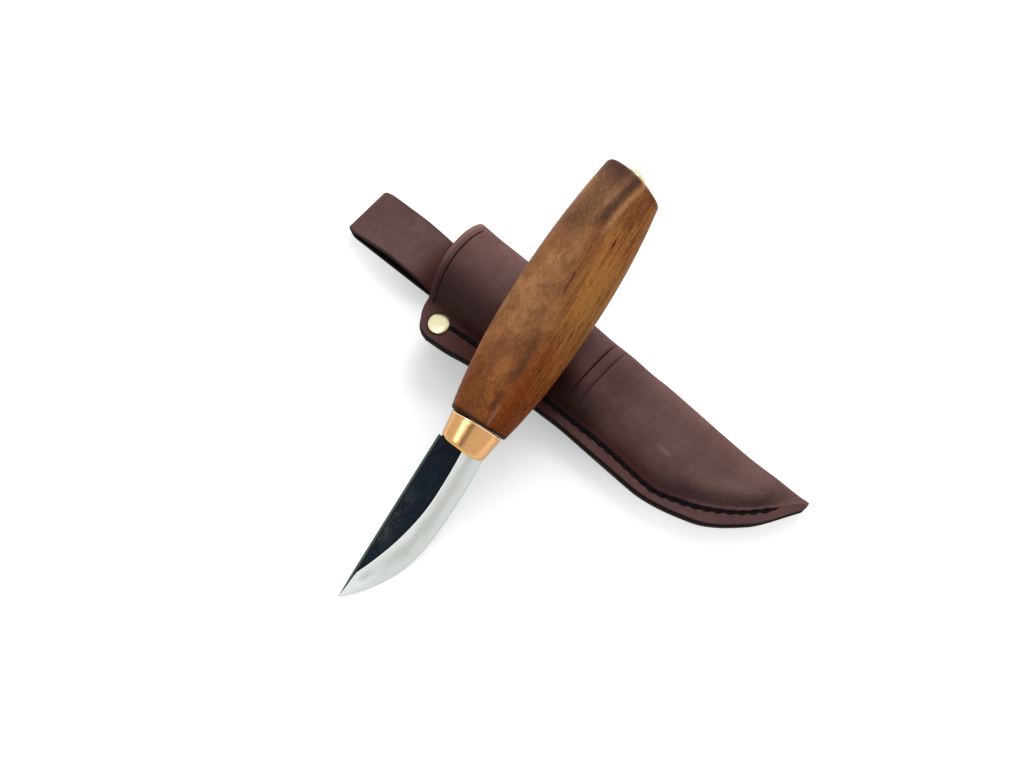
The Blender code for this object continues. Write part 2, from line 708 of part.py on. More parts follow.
def make_rivet(frame, look, parts):
    """The seam's rivet: a cap with a socket in front, and a post from behind that stands in the socket."""
    top = flange_z(RIVET_X) + FLANGE_LAYER + SEAT_GAP
    bottom = flange_z(RIVET_X) - FLANGE_LAYER - SEAT_GAP
    head, bevel = RIVET_DIAMETER / 2, RIVET_HEAD_BEVEL
    post = RIVET_POST_DIAMETER / 2
    bore, socket = post + SEAT_GAP, post + SEAT_GAP + RIVET_SOCKET_WALL
    socket_end = flange_z(RIVET_X) - FLANGE_LAYER + SEAT_GAP
    cap = (
        (head - 2 * bevel, top + RIVET_HEAD),
        (head - bevel, top + RIVET_HEAD - 0.3 * bevel),
        (head, top + RIVET_HEAD - bevel),
        (head, top),
        (socket, top),
        (socket, socket_end),
        (bore, socket_end),
        (bore, top),
    )
    stem = (
        (post, top - SEAT_GAP),
        (post, bottom),
        (head, bottom),
        (head, bottom - RIVET_HEAD + bevel),
        (head - bevel, bottom - RIVET_HEAD),
    )
    for name, profile in (("rivet_cap", cap), ("rivet_post", stem)):
        obj = finish(turned(name, profile, 32), name, frame, look, parts)
        obj.location = Vector((RIVET_X, RIVET_Y, 0.0)) * MM


def thread_curve(name, points, frame, look, parts):
    """A thread along (x, y, z, share of the full radius) points."""
    data = bpy.data.curves.new(name, "CURVE")
    data.dimensions = "3D"
    data.bevel_depth = THREAD_RADIUS * MM
    data.bevel_resolution = 1
    data.use_fill_caps = True
    spline = data.splines.new("POLY")
    spline.points.add(len(points) - 1)
    for point, (x, y, z, share) in zip(spline.points, points):
        point.co = (x * MM, y * MM, z * MM, 1.0)
        point.radius = share
    data.materials.append(look)
    obj = bpy.data.objects.new(name, data)
    obj.parent = frame
    parts.objects.link(obj)


def make_seam_threads(frame, look, parts):
    """One strand on each face of the flange: it swells along a stitch and thins at the stitch's holes."""
    stitches = round((SEAM_END_X - SEAM_START_X) * 1.12 / STITCH_PITCH)
    for name, side in (("seam_thread_front", 1), ("seam_thread_back", -1)):
        points = []
        for i in range(3 * stitches + 1):
            x = mix(SEAM_START_X, SEAM_END_X, i / (3 * stitches))
            over = i % 3 != 0
            lift = FLANGE_LAYER + THREAD_RADIUS + SEAT_GAP / 2 + (STITCH_RISE if over else 0.0)
            points.append((x, seam_y(x), flange_z(x) + side * lift, 1.0 if over else 0.72))
        thread_curve(name, points, frame, look, parts)


def loop_path(side):
    """Middle line of the strap along one long edge, as (x, z): front leg, fold and rear leg."""
    table = LEATHER / 2 + TABLE_GAP
    crest = table + LEATHER + LOOP_OPENING
    end = table + LEATHER + LOOP_END_OPENING + side * LOOP_TWIST
    bend = (end - table) / 2
    turn_x = bend - LOOP_REACH + LEATHER / 2
    front = (
        (turn_x, end),
        (mix(turn_x, LOOP_CREST_X, 0.55), mix(end, crest, 0.62)),
        (LOOP_CREST_X, crest),
        (LOOP_CREST_X / 2, mix(FRONT_LEG_Z, crest, 0.73)),
        (-0.1 * LOOP_LEG, mix(FRONT_LEG_Z, crest, 0.2)),
        (LOOP_LEG * 0.15, FRONT_LEG_Z),
        (LOOP_LEG, FRONT_LEG_Z),
    )
    rear = (
        (turn_x, table),
        (-0.2 * LOOP_REACH, table),
        (LOOP_LEG * 0.45, REAR_LEG_Z),
        (LOOP_LEG, REAR_LEG_Z),
    )
    steps = 14
    leg = [mix(LOOP_LEG, turn_x, i / steps) for i in range(steps + 1)]
    path = [(x, smooth_curve(front, x)) for x in leg]
    for i in range(1, 8):
        angle = math.pi * i / 8
        path.append((turn_x - bend * math.sin(angle), table + bend + bend * math.cos(angle)))
    return path + [(x, smooth_curve(rear, x)) for x in reversed(leg)]


def loop_width(x):
    """The strap widens evenly from the ends of its legs to its fold."""
    return mix(LOOP_LEG_WIDTH, LOOP_WIDTH, (LOOP_LEG - x) / (LOOP_LEG + LOOP_REACH))


def make_belt_loop(frame, look, parts):
    """A strap whose two legs lie together behind the pocket and open to a loop beyond the mouth."""
    bm = bmesh.new()
    rows = []
    for near, far in zip(loop_path(-1), loop_path(1)):
        ends = ((near, -0.5), (far, 0.5))
        rows.append([bm.verts.new(Vector((x, side * loop_width(x), z)) * MM) for (x, z), side in ends])
    for near, far in zip(rows, rows[1:]):
        bm.faces.new((near[0], near[1], far[1], far[0]))
    mesh = bpy.data.meshes.new("belt_loop")
    bm.to_mesh(mesh)
    bm.free()
    obj = finish(mesh, "belt_loop", frame, look, parts)
    obj.location = Vector((0.0, LOOP_CENTRE_Y, 0.0)) * MM
    obj.rotation_euler.z = math.radians(LOOP_YAW)
    wall = obj.modifiers.new("strap thickness", "SOLIDIFY")
    wall.thickness = LEATHER * MM
    wall.offset = 0.0
    wall.use_even_offset = True
    return obj


def make_loop_rivets(frame, look, parts, cutters, strap, leather):
    """Flat rivets through the back of the pocket and both legs of the strap."""
    head, shank = LOOP_RIVET_DIAMETER / 2, LOOP_RIVET_SHANK / 2
    inside = back_z(LOOP_RIVET_X) + LEATHER + SEAT_GAP
    under = TABLE_GAP + LOOP_RIVET_HEAD
    profile = (
        (head - 0.3, inside + LOOP_RIVET_HEAD),
        (head, inside + LOOP_RIVET_HEAD - 0.3),
        (head, inside),
        (shank, inside),
        (shank, under),
        (head, under),
        (head, TABLE_GAP + 0.3),
        (head - 0.3, TABLE_GAP),
    )
    hole = shank + SEAT_GAP
    yaw = math.radians(LOOP_YAW)
    for number, side in enumerate((-0.5, 0.5), start=1):
        across = side * LOOP_RIVET_SPACING
        x = LOOP_RIVET_X * math.cos(yaw) - across * math.sin(yaw)
        y = LOOP_CENTRE_Y + LOOP_RIVET_X * math.sin(yaw) + across * math.cos(yaw)
        place = Vector((x, y, 0.0)) * MM
        name = f"loop_rivet_{number}"
        obj = finish(turned(name, profile, 20), name, frame, look, parts)
        obj.location = place
        tool = cutter(turned(f"{name}_hole", ((hole, inside + CUT_PAST), (hole, -CUT_PAST)), 12), frame, cutters)
        tool.location = place
        cut(strap, tool)
        cut(leather, tool)


# How the knife leans


def lowest_of_blade(turn):
    stations = [BLADE_LENGTH * i / 40 for i in range(41)]
    return min((turn @ Vector((s, edge_line(s), 0.0))).z for s in stations)


def knife_pose(pitch):
    """Place and turn of the knife's frame at a pitch, with the blade's lowest point on the table."""
    turn = Euler((math.radians(KNIFE_ROLL), -math.radians(pitch), math.radians(KNIFE_YAW))).to_matrix()
    over = turn @ Vector((HANDLE_FRONT + CROSSING_ON_HANDLE, 0.0, 0.0))
    height = TABLE_GAP + EDGE_THICKNESS - lowest_of_blade(turn)
    return Vector((CROSSING_X - over.x, CROSSING_Y - over.y, height)), turn


def gap_under_handle(pitch):
    """Least height of the handle's underside over the sheath's front."""
    place, turn = knife_pose(pitch)
    least = math.inf
    for i in range(61):
        along = HANDLE_LENGTH * i / 60
        for point in handle_ring(along, 0.0):
            spot = place + turn @ Vector(point)
            foot, fold = foot_y(spot.x), fold_y(spot.x)
            if foot < spot.y < fold and 0 < spot.x < SHEATH_LENGTH:
                across = (spot.y - foot) / (fold - foot)
                least = min(least, spot.z - front_z(spot.x, across))
    return least


def leaning_pitch():
    """The pitch at which the handle just clears the sheath that it leans on."""
    low, high = 2.0, 60.0
    for _ in range(30):
        middle = (low + high) / 2
        if gap_under_handle(middle) < SEAT_GAP:
            low = middle
        else:
            high = middle
    return high


def main():
    clear_scene()
    parts, cutters = collection("puukko with sheath"), collection("cutters")
    steel = material("black forged steel", (0.035, 0.045, 0.055), 0.45, 1.0)
    brass = material("brass", (0.78, 0.53, 0.22), 0.3, 1.0)
    wood = material("stained figured wood", (0.30, 0.15, 0.06), 0.45)
    leather = material("dark brown leather", (0.105, 0.062, 0.06), 0.6)
    plastic = material("black plastic", (0.02, 0.02, 0.02), 0.5)
    thread = material("black waxed thread", (0.012, 0.012, 0.016), 0.6)

    sheath = bpy.data.objects.new("sheath_frame", None)
    sheath.location = Vector((-REST_FACE_X, 0.0, 0.0)) * MM
    knife = bpy.data.objects.new("knife_frame", None)
    knife.parent = sheath
    place, turn = knife_pose(leaning_pitch())
    knife.location = place * MM
    knife.rotation_euler = turn.to_euler()
    parts.objects.link(sheath)
    parts.objects.link(knife)

    make_blade(knife, steel, parts)
    make_ferrule(knife, brass, parts, cutters)
    make_handle(knife, wood, parts, cutters)
    make_washer(knife, brass, parts, cutters)

    shell = make_leather(sheath, leather, parts, cutters)
    make_liner(sheath, plastic, parts, cutters)
    make_rivet(sheath, brass, parts)
    make_seam_threads(sheath, thread, parts)
    strap = make_belt_loop(sheath, leather, parts)
    make_loop_rivets(sheath, brass, parts, cutters, strap, shell)


main()
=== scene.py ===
"""Looks of a puukko that leans across its sheath: figured wood, brass, forged steel and sewn leather.

Sizes are in millimetres in the piece's own frame. The knife's runs along X from the tip to the butt, with the
spine towards Y. The sheath's runs along X from the mouth to the tip, with the fold towards Y.
"""

from contextlib import contextmanager
from math import atan, copysign, cos, exp, hypot, pi, radians, sin, sqrt, tan

import bpy
from mathutils import Euler, Matrix, Vector, noise


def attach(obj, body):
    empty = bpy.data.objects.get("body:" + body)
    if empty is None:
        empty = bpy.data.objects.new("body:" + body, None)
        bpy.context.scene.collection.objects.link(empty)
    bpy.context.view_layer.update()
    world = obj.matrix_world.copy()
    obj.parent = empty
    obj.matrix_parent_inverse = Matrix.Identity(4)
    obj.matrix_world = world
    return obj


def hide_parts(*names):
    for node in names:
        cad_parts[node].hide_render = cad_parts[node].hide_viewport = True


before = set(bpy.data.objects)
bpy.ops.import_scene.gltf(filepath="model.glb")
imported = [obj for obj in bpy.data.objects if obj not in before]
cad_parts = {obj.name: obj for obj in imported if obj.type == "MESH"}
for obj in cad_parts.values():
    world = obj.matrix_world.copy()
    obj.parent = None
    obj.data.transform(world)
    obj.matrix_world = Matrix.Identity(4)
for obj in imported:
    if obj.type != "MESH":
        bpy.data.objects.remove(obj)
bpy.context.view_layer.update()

MM = 0.001
MERGE_WITHIN = 0.0005

# Where the two halves of the set lie
SHEATH_PLACE = Matrix.Translation((-106.0, 0.0, 0.0))
KNIFE_LOCATION = (-39.9611, -125.1535, -2.4605)
KNIFE_TURN = (radians(30.0), radians(-18.7855), radians(97.2))
KNIFE_PLACE = Matrix.Translation(KNIFE_LOCATION) @ Euler(KNIFE_TURN).to_matrix().to_4x4()

# Blade: stations run from the tip, heights from the knife's middle line
BLADE_START = 0.3
BLADE_LENGTH = 70.0
BLADE_THICKNESS = 3.4
SPINE_AT_TIP = 8.7
SPINE_AT_FERRULE = 10.0
SPINE_CHAMFER = 0.45
BELLY_STATION = 53.0
EDGE_AT_BELLY = -10.4
EDGE_AT_FERRULE = -9.3
EDGE_CURVE = 3.4
EDGE_HALF_THICKNESS = 0.05
HONED_WIDTH = 0.55
HONED_SHARE = 0.07
BEVEL_LOWEST_STATION = 50.0
BEVEL_LOWEST = -1.1
BEVEL_AT_FERRULE = -0.2
BEVEL_MEETS_SPINE = 10.5
BEVEL_CURVE = 1.9
BLADE_COLUMNS = 130
BLADE_SPANS = (1, 1, 8, 9, 2, 1)

# Ferrule: the bead's corners are (distance from the rear, inset)
FERRULE_FRONT = 70.3
FERRULE_LENGTH = 10.6
FERRULE_LEAD = 0.6
FERRULE_WIDTHS = (18.5, 21.4)
FERRULE_THICKNESSES = (14.0, 16.0)
FERRULE_FACE_INSET = 1.9
FERRULE_LIP = 1.7
FERRULE_LIP_INSET = 1.25
FERRULE_BEAD_START = 0.9
FERRULE_BEAD = (
    (0.8, 0.06), (0.72, -0.04), (0.5, -0.1), (0.28, -0.04),
    (0.12, 0.1), (0.02, 0.3), (0.0, 0.42),
)
COLLAR_HALF = 11.0
COLLAR_BOW = ((69.7, -0.6), (75.6, 0.0), (81.0, 0.9), (96.0, 0.0))

# Handle: sizes are (width, thickness)
HANDLE_FRONT = 81.2
HANDLE_LENGTH = 106.7
HANDLE_MIDDLE = 57.0
HANDLE_FRONT_SIZE = (23.2, 16.8)
HANDLE_MIDDLE_SIZE = (33.9, 21.5)
HANDLE_BUTT_SIZE = (25.2, 17.2)
HANDLE_SWELL = 2.5
HANDLE_FACE_INSET = 2.5
HANDLE_FRONT_ROUND = 0.9
HANDLE_BUTT_ROUND = 1.0
BUTT_DOME = 1.2
BUTT_SLOPE = tan(radians(10.0))
OVAL_POWER = 2.25

# Washer on the butt and the tang's end peened over it: (station, width, thickness)
WASHER_GAP = 0.3
WASHER_SEAT = 10.4
WASHER_TOP = 1.6
WASHER = (
    (-0.3, 9.0, 9.0), (0.0, 9.4, 9.4), (0.9, 9.4, 9.4),
    (1.2, 9.1, 9.1), (1.45, 8.4, 8.4), (1.6, 7.2, 7.2),
)
PEEN = (
    (-0.1, 5.0, 3.2), (0.1, 6.0, 4.2), (0.5, 6.2, 4.4),
    (0.9, 5.6, 3.8), (1.2, 4.4, 2.8), (1.35, 2.2, 1.4),
)

# Sheath
LEATHER = 2.1
PARTING_GAP = 0.3
FLANGE_LAYER = LEATHER + PARTING_GAP / 2
POCKET_EASE = 0.6
LINER_WALL = 1.3
HANDLE_POCKET = 76.0
BLADE_POCKET = 90.009
SHEATH_LENGTH = HANDLE_POCKET + BLADE_POCKET
STORED_FERRULE_X = 79.0
STORED_TIP_X = 149.0
TIP_HALF_THICKNESS = 2.45
SHEATH_EDGE_ROUND = 0.55
FLANGE_TRIM = 0.6
FLANGE_ROWS = 16
FRONT_ROWS = 52
REAR_ROWS = 34

# Lines of the sheath by place: 0 at the mouth, 1 at the neck and 2 at the tip
FOLD_LINE = ((0.0, 16.4), (0.5, 16.1), (0.9, 15.6), (1.2, 17.2), (1.4, 16.4), (1.7, 15.1), (2.0, 16.9))
SEAM_LINE = (
    (0.0, -27.6), (0.4, -24.6), (1.0, -20.5), (1.2, -19.8),
    (1.45, -20.6), (1.6, -16.6), (1.78, -7.0), (2.0, 15.0),
)
EDGE_LINE = (
    (0.0, -35.2), (0.25, -34.3), (0.5, -31.2), (0.85, -26.4), (1.05, -25.1),
    (1.4, -25.2), (1.68, -19.2), (1.87, -5.8), (2.0, 12.4),
)
FLANGE_LINE = ((0.0, 16.5), (0.35, 16.5), (1.0, 8.0), (1.35, 5.95), (2.0, 3.9))
BULGE_POWER = ((0.7, 2.2), (1.2, 3.2), (1.55, 3.2), (1.85, 2.3))
BULGE_SOFTNESS = ((1.5, 1.1), (1.85, 1.8))

# Lines of the sheath by distance from the mouth
BACK_LINE = ((0.0, 7.2), (12.0, 6.0), (31.0, 6.0), (57.0, 0.0), (125.0, 0.0), (SHEATH_LENGTH, 1.0))
# How much painted shade darkens the leather along the pocket's foot
VALLEY_SHADE = ((8.0, 0.4), (26.0, 1.05), (96.0, 0.95), (128.0, 0.6), (148.0, 0.1), (160.0, 0.0))
TIP_PRESSED = ((151.0, 0.0), (160.0, 1.0))

# Marks in the leather: grooves are (past the neck, depth), and spots of painted shadow in the neck's hollow
# are (x, y, length, width)
MOUTH_FADE = 40.0
CREASE_X = 3.6
CREASE_ZONE = (2.4, 4.8)
CREASE_DEPTH = 0.45
GROOVES = ((-3.6, 1.0), (1.2, 0.62))
GROOVE_DEPTH = 0.75
SEWN = (19.0, 158.5)
SEAM_DEPTH = 0.35
RIVET_RING = 4.7
NECK_SHADOW_SPOTS = ((67.5, -21.0, 9.0, 7.0), (67.0, -14.0, 8.5, 8.5))
NECK_SHADOW_DEPTH = 0.56
LEATHER_WAVES = ((0.06, 0.22), (0.021, 0.3))

# Scuffs on the pocket in the set's frame: (x, y, length, width)
SCUFFS = ((7.0, -6.9, 5.5, 1.7), (-20.0, -5.2, 0.8, 0.7))

# Belt loop
LOOP_REACH = 54.6
LOOP_LEG = 30.0
LOOP_CREST_X = -26.8
LOOP_HALF_WIDTHS = (10.8, 12.2)
LOOP_TWIST = 1.5
LOOP_EDGE_ROUND = 0.5
LOOP_CENTRE_Y = -3.8
LOOP_YAW = radians(0.7)
LOOP_ROWS = 20
LOOP_LEG_STEPS = 60
LOOP_BEND_STEPS = 16
FRONT_LEG_Z = 4.65
REAR_LEG_Z = 2.25
# Painted shadow of the mouth's rim on the strap: (x, share)
MOUTH_SHADE = ((-18.0, 0.0), (-13.0, 0.3), (-8.0, 0.65))

# Stitches: a strand's rings are (station, width, thickness)
STITCH_PITCH = 4.3
STITCH_LEAN = radians(8)
STITCH_HALF = 2.5
STITCH_SPREAD = 0.5
STITCH_DIP = 0.45
STITCH_LIFT = 0.12
SEAM_START = 21.0
SEAM_END = 157.0
STRAND_END = ((1.4, 0.85, 0.9), (2.2, 0.7, 0.7), (STITCH_HALF, 0.4, 0.4))

# Rivet at the top of the seam: the head's corners are (radius, height)
RIVET_SPOT = Vector((14.8, -27.6))
RIVET_GAP = 0.05
RIVET_HEAD = (
    (0.9, 1.08), (1.8, 1.04), (2.7, 0.94), (3.4, 0.8), (4.0, 0.58),
    (4.35, 0.36), (4.5, 0.12), (4.4, 0.0), (2.0, 0.0),
)

# Dark streaks of the wood along its heart line: (start, end, middle, width, depth)
PLUM_STREAKS = (
    (80.0, 112.0, 2.6, 3.0, 0.85), (54.0, 66.0, 0.4, 0.9, 0.7), (56.0, 88.0, 0.1, 0.6, 0.4),
    (16.0, 42.0, 1.2, 2.4, 0.48), (5.0, 16.0, 1.8, 2.0, 0.6), (72.0, 114.0, 10.0, 6.5, 0.54),
)

# Stage: directions point from the set
CROSSING = (-70.0, -45.0, 0.0)
WINDOW_SIDE = (-0.26, 0.75, 0.61)
DARK_CORNER = (0.4254, -0.2507, 0.8696)
DARK_SIDE = (0.897, 0.241, -0.37)
CAMERA_SPOT = Vector((28.61, -116.22, 301.31))
CAMERA_RIGHT = Vector((0.7393, 0.6734, 0.0))
CAMERA_UP = Vector((-0.6198, 0.6805, 0.3907))
CAMERA_BACK = Vector((0.2631, -0.2889, 0.9205))
LENS = 28.125


# Shader nodes


def operator(operation, reflected=False):
    """An operator of a socket, which adds a Math node."""

    def method(self, *others):
        values = (*others, self) if reflected else (self, *others)
        return self.nodes.node("ShaderNodeMath", {"operation": operation}, dict(enumerate(values)))

    return method


class Socket:
    """A shader socket that takes part in sums."""

    __add__ = operator("ADD")
    __radd__ = operator("ADD", reflected=True)
    __sub__ = operator("SUBTRACT")
    __rsub__ = operator("SUBTRACT", reflected=True)
    __mul__ = operator("MULTIPLY")
    __rmul__ = operator("MULTIPLY", reflected=True)
    __truediv__ = operator("DIVIDE")
    __rtruediv__ = operator("DIVIDE", reflected=True)
    __abs__ = operator("ABSOLUTE")

    def __init__(self, nodes, link):
        self.nodes = nodes
        self.link = link


class Nodes:
    """A node tree: one method adds any node, and a few name the common ones."""

    def __init__(self, owner):
        owner.use_nodes = True
        self.tree = owner.node_tree

    def node(self, kind, settings, inputs, output=0):
        made = self.tree.nodes.new(kind)
        for key, value in settings.items():
            setattr(made, key, value)
        for key, value in inputs.items():
            if isinstance(value, Socket):
                self.tree.links.new(value.link, made.inputs[key])
            else:
                made.inputs[key].default_value = value
        return Socket(self, made.outputs[output])

    def rays(self):
        """Whether the camera looks straight, and whether by gloss or through glass."""
        kinds = ("Is Camera Ray", "Is Glossy Ray", "Is Transmission Ray")
        camera, glossy, clear = (self.node("ShaderNodeLightPath", {}, {}, kind) for kind in kinds)
        return camera, glossy + clear

    def step(self, value, low, high):
        """0 at low and 1 at high, smooth between them, whichever is the larger."""
        settings = {"interpolation_type": "SMOOTHSTEP"}
        if low < high:
            return self.node("ShaderNodeMapRange", settings, {0: value, 1: low, 2: high, 3: 0.0, 4: 1.0})
        return self.node("ShaderNodeMapRange", settings, {0: value, 1: high, 2: low, 3: 1.0, 4: 0.0})

    def blend(self, share, low, high, mode="MIX"):
        """One colour over another."""
        settings = {"data_type": "RGBA", "blend_type": mode}
        return self.node("ShaderNodeMix", settings, {0: share, 6: low, 7: high}, 2)


class Finish(Nodes):
    """A material whose shader is fed by nodes, with a tone that colours are laid over."""

    def __init__(self, name, location=(0, 0, 0), turn=(0, 0, 0), **constants):
        self.material = bpy.data.materials.new(name)
        super().__init__(self.material)
        self.shader = self.tree.nodes["Principled BSDF"]
        self.tone = None
        for key, value in constants.items():
            self.socket(key).default_value = value
        inputs = {"Location": [c * MM for c in location], "Rotation": turn, "Scale": (MM, MM, MM)}
        inputs["Vector"] = self.node("ShaderNodeTexCoord", {}, {}, "Object")
        self.place = self.node("ShaderNodeMapping", {"vector_type": "TEXTURE"}, inputs)

    def socket(self, name):
        return self.shader.inputs[name.replace("_", " ").title().replace("Ior", "IOR")]

    def axes(self):
        """Places along X, Y and Z in millimetres."""
        return [self.node("ShaderNodeSeparateXYZ", {}, {"Vector": self.place}, axis) for axis in "XYZ"]

    def noise(self, stretch=None, scale=1.0, detail=2.0, roughness=0.5, distortion=0.0):
        """Soft noise, finer along an axis that has a larger stretch."""
        place = self.place
        if stretch:
            place = self.node("ShaderNodeMapping", {}, {"Vector": place, "Scale": stretch})
        inputs = {"Vector": place, "Scale": scale, "Detail": detail, "Roughness": roughness}
        return self.node("ShaderNodeTexNoise", {}, {**inputs, "Distortion": distortion}, "Fac")

    def attribute(self, name):
        return self.node("ShaderNodeAttribute", {"attribute_name": name}, {}, "Fac")

    def bump(self, height, distance, strength, under=None):
        inputs = {"Height": height, "Distance": distance * MM, "Strength": strength}
        if under is not None:
            inputs["Normal"] = under
        return self.node("ShaderNodeBump", {}, inputs)

    def lay(self, share, shade, mode="MIX"):
        """Lays a colour over the tone by a share."""
        self.tone = self.blend(share, self.tone, shade, mode)

    def fed(self, **values):
        """Links the tone and other values to the shader."""
        for name, value in {"base_color": self.tone, **values}.items():
            self.tree.links.new(value.link, self.socket(name))
        return self


def colour(red, green, blue):
    """A colour as it looks on a screen, 0 to 255, in the shader's own scale."""
    channels = []
    for value in (red / 255, green / 255, blue / 255):
        channels.append(value / 12.92 if value <= 0.04045 else ((value + 0.055) / 1.055) ** 2.4)
    return (*channels, 1.0)


def grey(level):
    return (level, level, level, 1.0)


# Modelling


def mix(low, high, share):
    return low + (high - low) * share


def dent(distance, width):
    """A pressed line's share of its depth at a distance from its middle."""
    return exp(-((distance / width) ** 2))


def smooth_curve(points, place):
    """The height at a place of the smooth curve through (place, height) points, with no overshoot."""
    if place <= points[0][0]:
        return points[0][1]
    if place >= points[-1][0]:
        return points[-1][1]
    steps = [(b[0] - a[0], (b[1] - a[1]) / (b[0] - a[0])) for a, b in zip(points, points[1:])]
    slopes = [steps[0][1]]
    for (run_a, slope_a), (run_b, slope_b) in zip(steps, steps[1:]):
        if slope_a * slope_b <= 0:
            slopes.append(0.0)
            continue
        weight_a = 2 * run_b + run_a
        weight_b = run_b + 2 * run_a
        slopes.append((weight_a + weight_b) / (weight_a / slope_a + weight_b / slope_b))
    slopes.append(steps[-1][1])
    index = max(i for i in range(len(steps)) if points[i][0] <= place)
    run = steps[index][0]
    t = (place - points[index][0]) / run
    rise = points[index + 1][1] - points[index][1]
    start, end = slopes[index] * run, slopes[index + 1] * run
    square, cube = 3 * rise - 2 * start - end, start + end - 2 * rise
    return points[index][1] + start * t + square * t**2 + cube * t**3


def alone(obj):
    """Only this object is selected and active."""
    bpy.ops.object.select_all(action="DESELECT")
    obj.select_set(True)
    bpy.context.view_layer.objects.active = obj


@contextmanager
def whole_mesh(obj):
    """Edit mode, with all of the mesh selected at first."""
    alone(obj)
    bpy.ops.object.mode_set(mode="EDIT")
    bpy.ops.mesh.select_all(action="SELECT")
    yield
    bpy.ops.object.mode_set(mode="OBJECT")


def apply_modifier(obj, kind, **settings):
    alone(obj)
    modifier = obj.modifiers.new(kind.lower(), kind)
    for key, value in settings.items():
        setattr(modifier, key, value)
    bpy.ops.object.modifier_apply(modifier=modifier.name)


def settle(obj, place):
    """Puts a piece that was modelled in millimetres where it belongs, with its place in its mesh."""
    obj.matrix_world = Matrix.Scale(MM, 4) @ place
    alone(obj)
    bpy.ops.object.transform_apply()


def outward(obj, unit=1.0):
    """Merges doubles and turns faces outwards, where a millimetre is this many units."""
    with whole_mesh(obj):
        bpy.ops.mesh.remove_doubles(threshold=MERGE_WITHIN * unit)
        bpy.ops.mesh.normals_make_consistent(inside=False)


def smooth(obj, degrees):
    alone(obj)
    bpy.ops.object.shade_smooth_by_angle(angle=radians(degrees))


def primitive(name, add, **settings):
    """A new primitive that alone is selected."""
    bpy.ops.object.select_all(action="DESELECT")
    add(**settings)
    obj = bpy.context.object
    obj.name = name
    return obj


def shaped_grid(name, columns, rows, place):
    """A sheet of columns by rows, with each corner moved to its place, row by row."""
    counts = {"x_subdivisions": columns, "y_subdivisions": rows}
    obj = primitive(name, bpy.ops.mesh.primitive_grid_add, size=1.0, **counts)
    for vertex in obj.data.vertices:
        column = round((vertex.co.x + 0.5) * columns)
        row = round((vertex.co.y + 0.5) * rows)
        vertex.co = place(column, row)
    return obj


def write_layer(obj, name, values):
    """Gives every corner of a mesh a number that its finish reads."""
    layer = obj.data.attributes.new(name, "FLOAT", "POINT")
    for datum, value in zip(layer.data, values):
        datum.value = value


def extrude_rings(obj, rings):
    """Draws a face out through rings, each a middle and a size along X, Y and Z."""
    with whole_mesh(obj):
        for (middle, size), (next_middle, next_size) in zip(rings, rings[1:]):
            step = [b - a for a, b in zip(middle, next_middle)]
            growth = [b / a for a, b in zip(size, next_size)]
            bpy.ops.mesh.extrude_region_move(TRANSFORM_OT_translate={"value": step})
            bpy.ops.transform.resize(value=growth, center_override=next_middle)
    outward(obj)


def drawn_out(name, sections, points, power=2.0):
    """A bar along X, oval or squarer by its power: each section is (station, width, thickness)."""
    obj = primitive(name, bpy.ops.mesh.primitive_circle_add, vertices=points, radius=1.0, fill_type="NGON")
    station, width, thickness = sections[0]
    for vertex in obj.data.vertices:
        y = copysign(abs(vertex.co.x) ** (2 / power), vertex.co.x)
        z = copysign(abs(vertex.co.y) ** (2 / power), vertex.co.y)
        vertex.co = (station, y * width / 2, z * thickness / 2)
    extrude_rings(obj, [((x, 0.0, 0.0), (1.0, wide, thick)) for x, wide, thick in sections])
    return obj


def lathe_turned(name, profile, turns):
    """A body turned about Z from (radius, height) corners."""
    radius, height = profile[0]
    settings = {"radius": radius, "fill_type": "NGON", "location": (0, 0, height)}
    obj = primitive(name, bpy.ops.mesh.primitive_circle_add, vertices=turns, **settings)
    bpy.ops.object.transform_apply()
    extrude_rings(obj, [((0.0, 0.0, z), (r, r, 1.0)) for r, z in profile])
    return obj


def thicken(obj, bevel, **settings):
    """Gives a sheet of leather its thickness, its flesh side and rounded cut edges."""
    for _ in range(3):
        obj.data.materials.append(None)
    settings.update({"thickness": LEATHER, "use_even_offset": True})
    apply_modifier(obj, "SOLIDIFY", material_offset=1, material_offset_rim=2, **settings)
    settings = {"limit_method": "ANGLE", "angle_limit": radians(50), "use_clamp_overlap": True}
    apply_modifier(obj, "BEVEL", segments=3, width=bevel, **settings)
    smooth(obj, 60)


def dressed(obj, body, slot, *finishes, replaces=()):
    """Gives a finished piece its materials, its body and the nodes that it stands for."""
    indices = [face.material_index for face in obj.data.polygons]
    obj.data.materials.clear()
    for finish in finishes:
        obj.data.materials.append(finish.material)
    for face, index in zip(obj.data.polygons, indices):
        face.material_index = index
    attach(obj, body)
    if replaces:
        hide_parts(*replaces)


def finish_solid(node, finish):
    """Gives a CAD solid that stays in view its finish."""
    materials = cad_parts[node].data.materials
    materials.clear()
    materials.append(finish.material)


# Finishes


